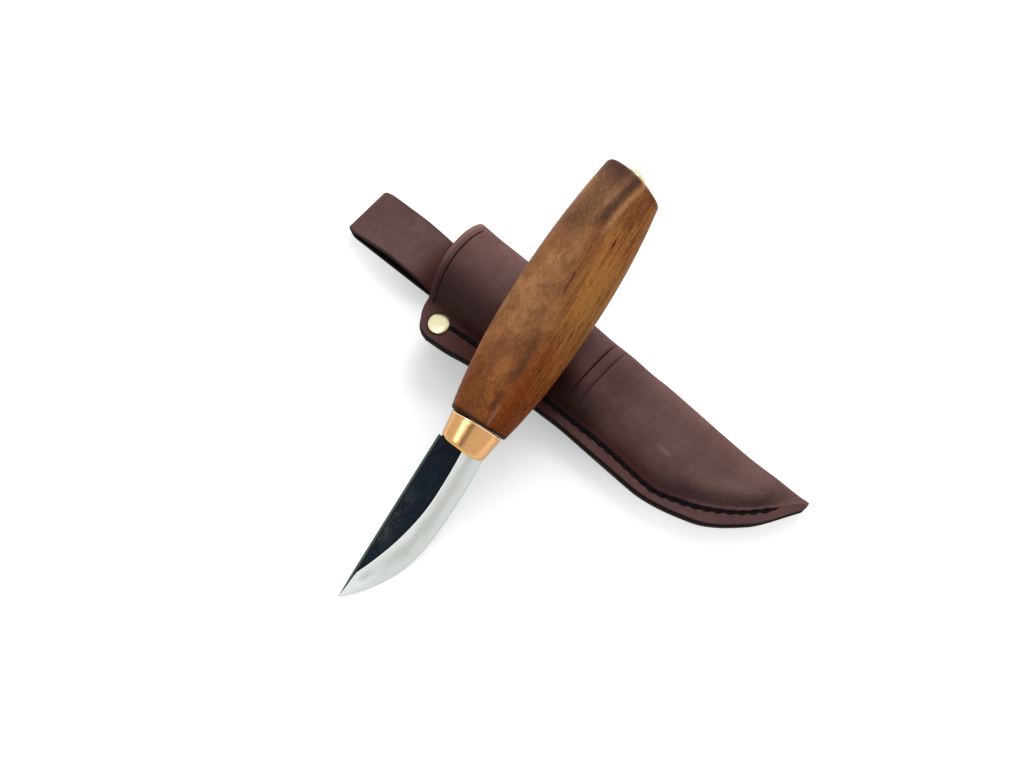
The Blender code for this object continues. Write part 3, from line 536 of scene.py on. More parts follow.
def wood_finish():
    """Oiled wood: mottled towards the spine, straight and red towards the edge, with a dark heart line."""
    f = Finish("figured_wood", KNIFE_LOCATION, KNIFE_TURN, specular_ior_level=0.1)
    x, y, _ = f.axes()
    along = x - HANDLE_FRONT
    drift = f.noise((0.04, 0.03, 0.03), detail=1.0) - 0.5
    cloud = f.noise((0.05, 0.085, 0.085))
    curl = f.noise((0.13, 0.2, 0.2), detail=3.0, roughness=0.55, distortion=1.0)
    fuzz = f.noise((0.6, 1.0, 1.0), detail=3.0, roughness=0.75)
    speckle = f.noise((0.55, 2.0, 2.0), roughness=0.7)
    fibre = f.noise((0.04, 0.9, 0.9), detail=4.0, roughness=0.65)
    pore = f.noise((0.12, 1.7, 1.7), detail=1.0)

    # Distance from the heart line, which wanders and leans over at the butt
    heart = y - 3.3 * f.step(along, 36.0, 64.0) + 4.2 * f.step(along, 76.0, 112.0) + 0.3 + 4.0 * drift
    mottled = f.blend(f.step(cloud, 0.34, 0.64), colour(155, 102, 65), colour(193, 137, 88))
    mottled = f.blend(f.step(curl, 0.56, 0.36) * 0.46, mottled, colour(122, 76, 50))
    straight = f.blend(f.step(fibre, 0.4, 0.62), colour(194, 126, 64), colour(152, 86, 42))
    redder = f.step(along, 60.0, 14.0) * f.step(heart, -13.0, -3.0)
    straight = f.blend(redder * 0.72, straight, colour(148, 70, 30))
    f.tone = f.blend(f.step(heart, -7.0, 5.0), straight, mottled)
    f.lay(f.step(along, 46.0, 10.0), (0.95, 0.68, 0.43, 1.0), "MULTIPLY")
    honey = f.step(along, 40.0, 58.0) * f.step(along, 84.0, 68.0) * f.step(heart, -2.0, -7.0)
    f.lay(honey * 0.62, colour(210, 144, 74))
    dashes = f.step(pore, 0.64, 0.69) * f.step(heart, -1.5, -5.0)
    f.lay(dashes * 0.8, colour(56, 30, 20))

    def streak(start, end, middle, width):
        """A soft line along the heart, fading at its ends."""
        fade = 0.22 * (end - start)
        window = f.step(along, start, start + fade) * f.step(along, end, end - fade)
        return window * f.step(abs(heart - middle), width, 0.2 * width)

    for start, end, middle, width, depth in PLUM_STREAKS:
        f.lay(streak(start, end, middle, width) * depth, colour(72, 50, 46))
    f.lay(streak(84.0, 124.0, -5.0, 6.0) * 0.55, colour(100, 54, 35))
    f.lay(streak(78.0, 122.0, -0.6, 1.4) * 0.85, colour(196, 142, 96))
    f.lay(streak(-6.0, 12.0, -0.2, 1.0) * 0.6, colour(184, 132, 106))

    # Fine speckle, then painted shade on the butt's corner at the spine's side, darker wood towards the butt
    # and a dark line at the joint with the ferrule
    f.lay(f.step(fuzz, 0.5, 0.72) * 0.25, colour(84, 50, 34))
    f.lay(f.step(speckle, 0.52, 0.72) * 0.5, colour(96, 52, 32))
    f.lay(f.step(speckle, 0.47, 0.27) * 0.32, colour(212, 160, 112))
    # Painted shade on the butt's corner at the spine's side
    corner = f.step(along, 92.0, 106.0) * f.step(y, -2.0, 9.0)
    f.lay(corner * 0.7, colour(66, 40, 40))
    f.lay(f.step(along, 101.0, 106.5) * 0.45, colour(70, 42, 33))
    f.lay(f.step(along, 2.2, 0.5) * 0.85, colour(34, 20, 16))
    grain = f.bump(1.0 - dashes, 0.12, 0.6)
    normal = f.bump(fibre * 0.6 + fuzz * 0.4, 0.04, 0.5, grain)
    return f.fed(roughness=0.42 + 0.14 * fuzz + 0.1 * dashes, normal=normal)


def forge_scale_finish():
    """Blue-black scale left by the forge, rubbed grey near the spine, with a painted dark line of shade along
    the bevel's shoulder.
    """
    f = Finish("black_forge_scale", KNIFE_LOCATION, KNIFE_TURN, metallic=0.2, specular_ior_level=0.2)
    x, y, _ = f.axes()
    cloud = f.noise((0.12, 0.2, 0.2), detail=3.0, roughness=0.6)
    grit = f.noise(scale=1.9, detail=3.0, roughness=0.75)
    f.tone = f.blend(f.step(cloud, 0.3, 0.7), colour(6, 18, 33), colour(16, 32, 48))
    f.lay(f.step(grit, 0.52, 0.7) * 0.55, colour(50, 66, 76))
    f.lay(f.step(grit, 0.46, 0.3) * 0.6, colour(4, 9, 16))
    near_spine = f.step(y, 2.5, 8.5) * f.step(x, 18.0, 28.0) * f.step(x, 52.0, 40.0)
    rubbed = near_spine * f.step(cloud, 0.25, 0.55)
    f.lay(rubbed * (0.08 + 0.65 * f.step(grit, 0.46, 0.66)), colour(118, 124, 120))
    # Painted shade: a dark line on the flat along the bevel's shoulder
    f.lay(f.step(f.attribute("down_bevel"), -0.14, -0.03) * 0.7, colour(2, 5, 9))
    over_tip = y - x * ((SPINE_AT_FERRULE - SPINE_AT_TIP) / BLADE_LENGTH)
    f.lay(f.step(over_tip, 7.8, 8.1) * 0.8, colour(4, 7, 9))
    f.lay(f.step(over_tip, 8.3, 8.5) * 0.85, colour(66, 78, 77))
    return f.fed(roughness=0.5 + 0.2 * grit, normal=f.bump(grit, 0.05, 0.5))


def ground_steel_finish(name, tint, roughness):
    """Satin ground steel with fine scratches square to the edge, a duller band down the bevel and a painted
    highlight along the shoulder.
    """
    f = Finish(name, KNIFE_LOCATION, KNIFE_TURN, metallic=1.0)
    x = f.axes()[0]
    scratch = f.noise((5.0, 0.25, 0.25), detail=3.0, roughness=0.7)
    cloud = f.noise((0.1, 0.25, 0.25))
    down = f.attribute("down_bevel")
    f.tone = f.blend(f.step(down, 0.45, 0.9) * 0.6, tint, colour(216, 221, 218))
    band = f.step(abs(down - 0.25 - 0.4 * cloud), 0.4, 0.05) * f.step(x, 8.0, 26.0)
    f.lay(band * 0.65, colour(190, 191, 184))
    smudge = f.step(abs(x - 12.0), 4.0, 1.0) * f.step(abs(down - 0.35), 0.22, 0.06)
    f.lay(smudge * 0.4, colour(184, 188, 184))
    f.lay(f.step(scratch, 0.6, 0.8) * 0.25, colour(168, 172, 170))
    # Painted highlight along the bevel's shoulder
    f.lay(f.step(down, 0.05, 0.01), colour(252, 253, 255))
    return f.fed(roughness=roughness + 0.12 * scratch, normal=f.bump(scratch, 0.008, 0.5))


def brass_finish(name, tint, roughness, location=(0, 0, 0), turn=(0, 0, 0), ends=()):
    """Rubbed brass: small dull spots and fine scratches, with a given colour past each end; on the ferrule
    the lip's is a tint and the bead's a painted highlight.
    """
    f = Finish(name, location, turn, metallic=1.0, coat_weight=0.4, coat_roughness=0.2)
    x, y, _ = f.axes()
    spot = f.noise(scale=1.3, detail=4.0, roughness=0.75)
    hair = f.noise((3.2, 0.35, 0.35), roughness=0.6)
    dull = tuple(channel * share for channel, share in zip(tint, (0.74, 0.64, 0.52, 1.0)))
    f.tone = f.blend(f.step(spot, 0.42, 0.7) * 0.5, tint, dull)
    for start, end, bow, end_colour in ends:
        f.lay(f.step(x - bow * (0.5 - y * y / COLLAR_HALF**2), start, end), end_colour)
    normal = f.bump(hair * 0.6 + spot * 0.4, 0.02, 0.4)
    return f.fed(roughness=roughness + 0.14 * spot + 0.08 * hair, normal=normal)


def leather_finish():
    """Dark brown grain leather: fine pebbled grain, soft mottling, darker in compressed marks and painted
    shade, lighter in painted light.
    """
    f = Finish("brown_leather", specular_ior_level=0.06)
    cloud = f.noise(scale=0.045, detail=3.0, roughness=0.6)
    mottle = f.noise(scale=0.33, detail=3.0, roughness=0.6)
    cells = f.node("ShaderNodeTexVoronoi", {}, {"Vector": f.place, "Scale": 1.25}, "Distance")
    fine = f.noise(scale=2.6, detail=3.0, roughness=0.65)
    f.tone = f.blend(f.step(cloud, 0.3, 0.7), colour(89, 64, 62), colour(102, 76, 74))
    f.lay(f.step(mottle, 0.4, 0.75) * 0.35, colour(82, 55, 53))
    f.lay(f.step(fine, 0.5, 0.8) * 0.3, colour(66, 46, 46))
    press_and_painted_light = f.attribute("press_and_painted_light")
    # Painted light below zero; above it compressed marks and painted shade, darkest in the grooves, the seam
    # and the neck's painted shadow
    f.lay(f.step(press_and_painted_light, 0.0, -0.5) * 0.5, colour(132, 104, 99))
    f.lay(f.step(press_and_painted_light, 0.0, 0.55), colour(71, 39, 37))
    f.lay(f.step(press_and_painted_light, 0.45, 0.95), colour(14, 8, 9))
    x, y, z = f.axes()
    for scuff_x, scuff_y, length, width in SCUFFS:
        mark = f.step(abs(x - scuff_x), length, 0.1 * length) * f.step(abs(y - scuff_y), width, 0.1 * width)
        mark = mark * f.step(z, 5.0, 7.0) * f.step(fine, 0.25, 0.65)
        f.lay(mark * 0.3, colour(150, 136, 138))
    normal = f.bump(fine, 0.06, 0.4, f.bump(cells, 0.12, 0.35))
    return f.fed(roughness=0.6 + 0.15 * fine, normal=normal)


def flesh_finish(name, dark, light):
    """The rough inner side of the leather."""
    f = Finish(name, specular_ior_level=0.1)
    nap = f.noise(scale=1.6, detail=4.0, roughness=0.7)
    cloud = f.noise(scale=0.12)
    f.tone = f.blend(f.step(nap, 0.3, 0.7), dark, light)
    f.lay(f.step(cloud, 0.4, 0.8) * 0.4, dark)
    return f.fed(roughness=0.8 + 0.15 * nap, normal=f.bump(nap, 0.15, 0.6))


def edge_finish():
    """The cut edge, dyed dark and burnished."""
    f = Finish("burnished_edge", specular_ior_level=0.1)
    layer = f.noise((0.25, 0.25, 2.2), detail=3.0, roughness=0.65)
    nick = f.noise(scale=1.4, detail=3.0, roughness=0.7)
    f.tone = f.blend(f.step(layer, 0.35, 0.7), colour(18, 13, 13), colour(42, 30, 28))
    f.lay(f.step(nick, 0.6, 0.8) * 0.3, colour(78, 62, 54))
    return f.fed(roughness=0.5 + 0.25 * nick, normal=f.bump(layer, 0.08, 0.6))


def thread_finish():
    """Black waxed thread with its twist."""
    f = Finish("waxed_thread", specular_ior_level=0.1)
    twist = f.noise(scale=2.8, roughness=0.6)
    f.tone = f.blend(f.step(twist, 0.4, 0.7), colour(2, 2, 4), colour(19, 17, 27))
    return f.fed(roughness=0.4 + 0.25 * twist, normal=f.bump(twist, 0.12, 0.6))


def liner_finish():
    """Moulded black plastic."""
    f = Finish("moulded_plastic", specular_ior_level=0.4)
    mould = f.noise(scale=1.2, detail=3.0)
    f.tone = f.blend(mould, colour(20, 20, 22), colour(34, 34, 36))
    return f.fed(roughness=0.42 + 0.2 * mould, normal=f.bump(mould, 0.03, 0.4))


# Knife


def spine_line(station):
    return mix(SPINE_AT_TIP, SPINE_AT_FERRULE, station / BLADE_LENGTH)


def edge_line(station):
    if station < BELLY_STATION:
        return mix(EDGE_AT_BELLY, SPINE_AT_TIP, (1 - station / BELLY_STATION) ** EDGE_CURVE)
    behind = (station - BELLY_STATION) / (BLADE_LENGTH - BELLY_STATION)
    return mix(EDGE_AT_BELLY, EDGE_AT_FERRULE, behind**2)


def bevel_line(station):
    if station < BEVEL_LOWEST_STATION:
        ahead = (BEVEL_LOWEST_STATION - station) / (BEVEL_LOWEST_STATION - BEVEL_MEETS_SPINE)
        return mix(BEVEL_LOWEST, spine_line(BEVEL_MEETS_SPINE), min(1.0, ahead) ** BEVEL_CURVE)
    behind = (station - BEVEL_LOWEST_STATION) / (BLADE_LENGTH - BEVEL_LOWEST_STATION)
    return mix(BEVEL_LOWEST, BEVEL_AT_FERRULE, behind**2)


def blade_side(station):
    """Half of a section of the blade, from the middle of the spine to the keen edge: (y, z) corners."""
    spine, edge = spine_line(station), edge_line(station)
    full_depth = spine_line(BEVEL_MEETS_SPINE) - edge_line(BEVEL_MEETS_SPINE)
    ground = min(1.0, (spine - edge) / full_depth)
    half = max(0.08, BLADE_THICKNESS * ground / 2)
    chamfer = SPINE_CHAMFER * ground
    shoulder = min(bevel_line(station), mix(edge, spine - chamfer, 0.985))
    keen = min(EDGE_HALF_THICKNESS, half * 0.6)
    honed = min(HONED_WIDTH, HONED_SHARE * (shoulder - edge))
    return [
        (spine, 0.0), (spine, half - chamfer), (spine - chamfer, half), (shoulder, half),
        (edge + honed, mix(keen, half, HONED_SHARE)), (edge, keen), (edge, 0.0),
    ]


def make_blade(scale, steel, edge_steel):
    """Two mirrored sheets from the spine to the edge, closed at the shoulder behind the ferrule."""
    marks = [sum(BLADE_SPANS[:i]) for i in range(len(BLADE_SPANS) + 1)]
    flat_row, bevel_row, honed_row = marks[2:5]
    down_bevel = []

    def place(column, row):
        station = mix(BLADE_START, BLADE_LENGTH, (column / BLADE_COLUMNS) ** 1.25)
        corners = blade_side(station)
        span = max(i for i in range(len(BLADE_SPANS)) if marks[i] <= row)
        share = (row - marks[span]) / BLADE_SPANS[span]
        (y_a, z_a), (y_b, z_b) = corners[span], corners[span + 1]
        down_bevel.append((row - bevel_row) / (honed_row - bevel_row))
        return (station, mix(y_a, y_b, share), mix(z_a, z_b, share))

    obj = shaped_grid("blade_steel", BLADE_COLUMNS, marks[-1], place)
    write_layer(obj, "down_bevel", down_bevel)
    for face in obj.data.polygons:
        row = min(i // (BLADE_COLUMNS + 1) for i in face.vertices)
        at_tip = face.center.x < BEVEL_MEETS_SPINE and row >= flat_row
        if row < bevel_row and not at_tip:
            face.material_index = 0
        else:
            face.material_index = 1 if row < honed_row else 2
    apply_modifier(obj, "MIRROR", use_axis=(False, False, True), merge_threshold=0.001)
    with whole_mesh(obj):
        bpy.ops.mesh.remove_doubles(threshold=MERGE_WITHIN)
        bpy.ops.mesh.select_all(action="DESELECT")
        bpy.ops.mesh.select_non_manifold()
        bpy.ops.mesh.edge_face_add()
    outward(obj)
    smooth(obj, 4)
    settle(obj, KNIFE_PLACE)
    dressed(obj, "knife", "forged_steel", scale, steel, edge_steel, replaces=("blade",))


def bow_at_collar(obj):
    """Bows the ferrule's two rims, and the handle's front with them, across the knife's flat sides."""
    for vertex in obj.data.vertices:
        arch = 0.5 - (vertex.co.y / COLLAR_HALF) ** 2
        vertex.co.x += arch * smooth_curve(COLLAR_BOW, vertex.co.x)


def ferrule_section(station, inset):
    share = (station - FERRULE_FRONT) / FERRULE_LENGTH
    return station, mix(*FERRULE_WIDTHS, share) - 2 * inset, mix(*FERRULE_THICKNESSES, share) - 2 * inset


def make_ferrule(brass):
    """A tapered cup with a rounded front lip and a thin bead at the back."""
    front, rear = FERRULE_FRONT - FERRULE_LEAD, FERRULE_FRONT + FERRULE_LENGTH
    sections = [ferrule_section(front, FERRULE_FACE_INSET)]
    for degrees in range(0, 91, 15):
        turn = radians(degrees)
        station = front + FERRULE_LIP * (1 - cos(turn))
        sections.append(ferrule_section(station, FERRULE_LIP_INSET * (1 - sin(turn))))
    for i in range(1, 9):
        station = mix(front + FERRULE_LIP, rear - FERRULE_BEAD_START, i / 8)
        sections.append(ferrule_section(station, 0.0))
    sections += [ferrule_section(rear - ahead, inset) for ahead, inset in FERRULE_BEAD]
    obj = drawn_out("ferrule_cup", sections, 96, OVAL_POWER)
    bow_at_collar(obj)
    smooth(obj, 40)
    settle(obj, KNIFE_PLACE)
    dressed(obj, "knife", "brass", brass, replaces=("ferrule",))


def handle_size(along):
    """Width and thickness, which swell from the front to the middle and fall to the butt."""
    if along < HANDLE_MIDDLE:
        end = HANDLE_FRONT_SIZE
        swell = 1 - (1 - max(0.0, along) / HANDLE_MIDDLE) ** HANDLE_SWELL
    else:
        end = HANDLE_BUTT_SIZE
        swell = 1 - ((along - HANDLE_MIDDLE) / (HANDLE_LENGTH - HANDLE_MIDDLE)) ** 2
    return [mix(least, most, swell) for least, most in zip(end, HANDLE_MIDDLE_SIZE)]


def handle_section(along, inset):
    width, thickness = handle_size(along)
    return HANDLE_FRONT + along, width - 2 * inset, thickness - 2 * inset


def lean_with_butt(obj):
    """Leans a body behind the handle's middle as the butt is cut: longer on the spine's side."""
    for vertex in obj.data.vertices:
        behind = (vertex.co.x - HANDLE_FRONT - HANDLE_MIDDLE) / (HANDLE_LENGTH - HANDLE_MIDDLE)
        vertex.co.x += BUTT_SLOPE * min(1.0, max(0.0, behind)) ** 2 * vertex.co.y


def make_handle(wood):
    """An oval barrel with a rounded front corner and a softly domed, slanted butt."""
    front, corner = HANDLE_FRONT_ROUND, HANDLE_BUTT_ROUND
    body_end = HANDLE_LENGTH - BUTT_DOME - corner
    sections = [handle_section(0.0, HANDLE_FACE_INSET)]
    for degrees in (0, 22, 45, 67, 90):
        turn = radians(degrees)
        sections.append(handle_section(front * (1 - cos(turn)), front * (1 - sin(turn))))
    sections += [handle_section(mix(front, body_end, i / 48), 0.0) for i in range(1, 49)]
    for degrees in (15, 30, 45, 60, 75, 90):
        turn = radians(degrees)
        sections.append(handle_section(body_end + corner * sin(turn), corner * (1 - cos(turn))))
    butt_width, butt_thickness = handle_size(body_end + corner)
    for i in range(1, 9):
        share = 1 - i / 8
        width = mix(WASHER_SEAT, butt_width - 2 * corner, share)
        thickness = mix(WASHER_SEAT, butt_thickness - 2 * corner, share)
        sections.append((HANDLE_FRONT + HANDLE_LENGTH - BUTT_DOME * share**2, width, thickness))
    obj = drawn_out("handle_barrel", sections, 112, OVAL_POWER)
    bow_at_collar(obj)
    lean_with_butt(obj)
    smooth(obj, 50)
    settle(obj, KNIFE_PLACE)
    dressed(obj, "knife", "handle_wood", wood, replaces=("handle",))


def make_butt(brass):
    """The washer on the butt and the tang's end peened over it."""
    seat = HANDLE_FRONT + HANDLE_LENGTH + WASHER_GAP
    for name, start, rings, replaces in (
        ("butt_washer", seat, WASHER, ("tang_washer",)),
        ("peened_tang_end", seat + WASHER_TOP, PEEN, ()),
    ):
        obj = drawn_out(name, [(start + x, wide, thick) for x, wide, thick in rings], 64)
        lean_with_butt(obj)
        smooth(obj, 40)
        settle(obj, KNIFE_PLACE)
        dressed(obj, "knife", "brass", brass, replaces=replaces)


# Sheath


def place_of(x):
    if x < HANDLE_POCKET:
        return x / HANDLE_POCKET
    return 1 + (x - HANDLE_POCKET) / BLADE_POCKET


def fold_y(x):
    return smooth_curve(FOLD_LINE, place_of(x))


def seam_y(x):
    return smooth_curve(SEAM_LINE, place_of(x))


def foot_y(x):
    """The line where the pocket rises from the flange."""
    return min(max(seam_y(x) + 1.5, -22.8), fold_y(x) - 2.7)


def flange_edge_y(x):
    return min(smooth_curve(EDGE_LINE, place_of(x)), foot_y(x) - 0.4)


def flange_z(x):
    return smooth_curve(FLANGE_LINE, place_of(x))


def back_z(x):
    return smooth_curve(BACK_LINE, x)


def half_thickness_points():
    """Half of the sheath's thickness along it, over the stored handle, ferrule and lined blade."""
    over_handle, over_liner = POCKET_EASE + LEATHER, LINER_WALL + POCKET_EASE + LEATHER
    handle_front_x = STORED_FERRULE_X - FERRULE_LENGTH - 0.6
    points = []
    for share in (0.0, 0.2, 0.4, 0.6, 0.8, 1.0):
        place = handle_front_x * share
        points.append((place, handle_size(handle_front_x - place)[1] / 2 + over_handle))
    return points + [
        (STORED_FERRULE_X - 1.0, FERRULE_THICKNESSES[0] / 2 + over_handle),
        (STORED_FERRULE_X + 14.0, over_liner + 2.5),
        (STORED_TIP_X - 24.0, over_liner + 2.5),
        (STORED_TIP_X + 2.8, over_liner + 0.9),
        (SHEATH_LENGTH, TIP_HALF_THICKNESS),
    ]


THICKNESS_LINE = half_thickness_points()


def half_thickness(x):
    return smooth_curve(THICKNESS_LINE, x)


def bulge(x, across):
    """The pocket's swell across it, from 0 at the foot and the fold to 1 between them."""
    power = smooth_curve(BULGE_POWER, place_of(x))
    softness = smooth_curve(BULGE_SOFTNESS, place_of(x))
    return max(0.0, 1 - abs(2 * across - 1) ** power) ** mix(softness, 0.5, across)


def groove(x, across):
    """The two lines tooled across the neck, as a share of their depth."""
    window = max(0.0, 1 - ((across - 0.52) / 0.46) ** 2) ** 0.5
    return window * max(depth * dent(x - HANDLE_POCKET - place, 0.3) for place, depth in GROOVES)


def front_z(x, across):
    """Height of the pocket's front: it swells over the knife and is flattened past the liner's end."""
    flat, fold = flange_z(x) + FLANGE_LAYER, back_z(x) + half_thickness(x)
    swollen = mix(mix(flat, fold, across), back_z(x) + 2 * half_thickness(x), bulge(x, across))
    return mix(swollen, mix(flat, fold, across**5), smooth_curve(TIP_PRESSED, x))


def rear_z(x, across):
    """Height of the pocket's back, which lies flat on the table where it can."""
    base = mix(flange_z(x) - FLANGE_LAYER, back_z(x) + half_thickness(x), across)
    return max(back_z(x), base - (base - back_z(x)) * 1.6 * bulge(x, across))


def mouth_shift(across):
    """How far the mouth's rim lies back at the foot and forward at the fold."""
    return 5.1 * (1 - across) ** 1.6 - 1.1


def mouth_fade(x):
    return max(0.0, 1 - x / MOUTH_FADE) ** 2


def sheath_stations():
    """Sections along the sheath, closer at the mouth and at the pressed lines."""
    stations = [0.0]
    while stations[-1] < SHEATH_LENGTH - 0.5:
        x = stations[-1]
        near_groove = min(abs(x - HANDLE_POCKET - place) for place, _ in GROOVES) < 1.2
        if near_groove or CREASE_ZONE[0] < x < CREASE_ZONE[1]:
            step = 0.16
        else:
            step = 0.4 if x < 9.0 else 1.1
        stations.append(min(SHEATH_LENGTH, x + step))
    return stations


def valley_fill(rise):
    """How far the leather stays above the corner where the pocket rises."""
    return (hypot(rise, 1.4) - abs(rise)) / 2


def flange_fill(x, y):
    """How far the front flange is drawn up towards the pocket's foot."""
    foot, fold = foot_y(x), fold_y(x)
    steepness = (front_z(x, 0.03) - front_z(x, 0.0)) / (0.03 * (fold - foot))
    return valley_fill(steepness * (foot - y))


def painted_neck_shadow(spot):
    """How much painted shadow of the handle darkens the hollow at the seam's side of the neck."""
    shadow_shares = (dent(spot.x - x, wide) * dent(spot.y - y, high) for x, y, wide, high in NECK_SHADOW_SPOTS)
    return NECK_SHADOW_DEPTH * max(shadow_shares)


def flange_point(x, share, front):
    """The flange's outer face and its marks, from the pocket's foot to the cut edge: a compressed seam,
    painted shade along the pocket's foot and in the neck's hollow, and painted shadow of the handle and
    around the rivet.
    """
    foot, edge = foot_y(x), flange_edge_y(x)
    trim = min(FLANGE_TRIM, 0.5 * (foot - edge)) if front else 0.0
    y = mix(foot, edge + trim, share)
    sewn = 1.0 if SEWN[0] < x < SEWN[1] else 0.0
    seam = sewn * dent((y - seam_y(x)) ** 2, 0.7 + 0.6 * dent(x - 30.0, 14.0))
    z = flange_z(x) + (1 if front else -1) * (FLANGE_LAYER - SEAM_DEPTH * seam)
    if front:
        z += flange_fill(x, y)
    shift = mouth_shift(0.0) + 6.8 * share**1.85 + 3.5 * share**20 + (0.5 * share if front else 0.0)
    spot = Vector((x + mouth_fade(x) * shift, y, z))
    # A darker band around the rivet's head: painted shadow, and leather compressed by the head
    rivet_shadow_ring = dent((spot.xy - RIVET_SPOT).length - RIVET_RING, 0.4)
    # Painted shade along the pocket's foot
    valley_shade = dent(y - foot, 2.2) * smooth_curve(VALLEY_SHADE, x)
    brim = dent(y - edge, 0.9)
    # A shade darker all over the flange, with painted shadow of the handle near x 18 and 38
    flange_tone_and_handle_shadow = 0.2 + 0.1 * dent(x - 18.0, 12.0) + 0.28 * dent(x - 38.0, 14.0)
    return spot, max(seam, 0.85 * rivet_shadow_ring, 0.5 * valley_shade, 0.4 * brim, painted_neck_shadow(spot), flange_tone_and_handle_shadow)


def front_point(x, across):
    """The pocket's front and its marks there, from the foot to the fold: tooled lines and crease, painted
    shade along the foot and in the neck's hollow, and painted light on the rim and near the tip.
    """
    foot = foot_y(x)
    y = mix(foot, fold_y(x), across)
    lines = groove(x, across)
    crease = dent(x - CREASE_X, 0.35) * min(1.0, max(0.0, (0.93 - across) / 0.1)) if x < 8 else 0.0
    z = front_z(x, across)
    rise = z - front_z(x, 0.0)
    z = z + valley_fill(rise) * (1 - across) ** 2 - GROOVE_DEPTH * lines - CREASE_DEPTH * crease
    spot = Vector((x + mouth_fade(x) * mouth_shift(across), y, z))
    # Painted shade along the pocket's foot
    valley_shade = dent(y - foot, 3.4) * smooth_curve(VALLEY_SHADE, x)
    rim = dent(x - 0.6, 1.1)
    # Painted light on the mouth's rim and on the pocket's slope near the tip
    painted_light = 0.5 * rim + 0.55 * dent(x - 141.0, 13.0) * dent(across - 0.24, 0.2)
    return spot, max(0.95 * lines, 0.85 * crease, 0.5 * valley_shade, painted_neck_shadow(spot)) - painted_light


def rear_point(x, across):
    """The pocket's back, which carries no marks and no painted shade."""
    y = mix(foot_y(x), fold_y(x), across)
    return Vector((x + mouth_fade(x) * mouth_shift(across), y, rear_z(x, across))), 0.0


def sheath_point(x, row):
    """A place with its marks and painted light at a station, from the front flange's edge over the fold to
    the rear one's.
    """
    if row <= FLANGE_ROWS:
        return flange_point(x, 1 - row / FLANGE_ROWS, True)
    row -= FLANGE_ROWS
    if row <= FRONT_ROWS:
        return front_point(x, (1 - cos(pi * row / FRONT_ROWS)) / 2)
    row -= FRONT_ROWS
    if row < REAR_ROWS:
        return rear_point(x, (1 + cos(pi * row / REAR_ROWS)) / 2)
    return flange_point(x, (row - REAR_ROWS) / FLANGE_ROWS, False)


def make_sheath(leather, flesh, edge):
    """One sheet of leather folded over the knife, thickened, with rounded cut edges."""
    stations = sheath_stations()
    rows = 2 * FLANGE_ROWS + FRONT_ROWS + REAR_ROWS
    press_and_painted_light = []

    def place(column, row):
        spot, press_and_light = sheath_point(stations[column], row)
        press_and_painted_light.append(press_and_light)
        if row <= FLANGE_ROWS + FRONT_ROWS:
            wave = sum(noise.noise(spot * scale) * height for scale, height in LEATHER_WAVES)
            spot.z += wave * min(1.0, stations[column] / 10.0)
        return spot

    obj = shaped_grid("sheath_hide", len(stations) - 1, rows, place)
    write_layer(obj, "press_and_painted_light", press_and_painted_light)
    thicken(obj, SHEATH_EDGE_ROUND, offset=-1.0, use_quality_normals=True)
    settle(obj, SHEATH_PLACE)
    dressed(obj, "sheath", "leather", leather, flesh, edge, replaces=("sheath_leather",))


def loop_path(side):
    """The strap's middle line along one long edge in (x, z): front leg, fold and rear leg."""
    table, crest = LEATHER / 2 + 0.1, LEATHER * 1.5 + 6.3
    end = LEATHER * 1.5 + 3.0 + side * LOOP_TWIST
    bend = (end - table) / 2
    turn_x = bend - LOOP_REACH + LEATHER / 2
    front = (
        (turn_x, end),
        (mix(turn_x, LOOP_CREST_X, 0.55), mix(end, crest, 0.62)),
        (LOOP_CREST_X, crest),
        (LOOP_CREST_X / 2, mix(FRONT_LEG_Z, crest, 0.73)),
        (-0.1 * LOOP_LEG, mix(FRONT_LEG_Z, crest, 0.2)),
        (LOOP_LEG * 0.15, FRONT_LEG_Z),
        (LOOP_LEG, FRONT_LEG_Z),
    )
    rear = (
        (turn_x, table), (-0.2 * LOOP_REACH, table),
        (LOOP_LEG * 0.45, REAR_LEG_Z), (LOOP_LEG, REAR_LEG_Z),
    )
    leg = [mix(LOOP_LEG, turn_x, i / LOOP_LEG_STEPS) for i in range(LOOP_LEG_STEPS + 1)]
    path = [(x, smooth_curve(front, x)) for x in leg]
    for i in range(1, LOOP_BEND_STEPS):
        angle = pi * i / LOOP_BEND_STEPS
        path.append((turn_x - bend * sin(angle), table + bend + bend * cos(angle)))
    return path + [(x, smooth_curve(rear, x)) for x in reversed(leg)]


def make_belt_loop(leather, flesh, edge):
    """A strap folded back on itself, a little twisted at the fold, with rounded edges."""
    sides = (loop_path(-1), loop_path(1))
    columns = len(sides[0]) - 1
    press_and_painted_light = []

    def place(column, row):
        share = 2 * row / LOOP_ROWS - 1
        near, far = (Vector(side[column]) for side in sides)
        half = mix(*LOOP_HALF_WIDTHS, (LOOP_LEG - near.x) / (LOOP_LEG + LOOP_REACH))
        half -= 1.1 * max(0.0, -(near.x + 49.5) / 4.0) ** 2
        y = half * copysign(1 - (1 - abs(share)) ** 1.3, share)
        x, z = near.lerp(far, (y + half) / (2 * half))
        on_front = column <= columns // 2
        # Darker along the strap's edges, with painted shadow of the mouth's rim on the front leg
        mouth_shadow = smooth_curve(MOUTH_SHADE, x) if on_front else 0.0
        press_and_painted_light.append(max(0.3 * dent(half - abs(y), 0.8), mouth_shadow))
        return (x, y, z)

    obj = shaped_grid("loop_strap", columns, LOOP_ROWS, place)
    write_layer(obj, "press_and_painted_light", press_and_painted_light)
    with whole_mesh(obj):
        bpy.ops.mesh.flip_normals()
    thicken(obj, LOOP_EDGE_ROUND, offset=0.0)
    turn = Matrix.Rotation(LOOP_YAW, 4, "Z")
    settle(obj, SHEATH_PLACE @ Matrix.Translation((0.0, LOOP_CENTRE_Y, 0.0)) @ turn)
    dressed(obj, "sheath", "leather", leather, flesh, edge, replaces=("belt_loop",))


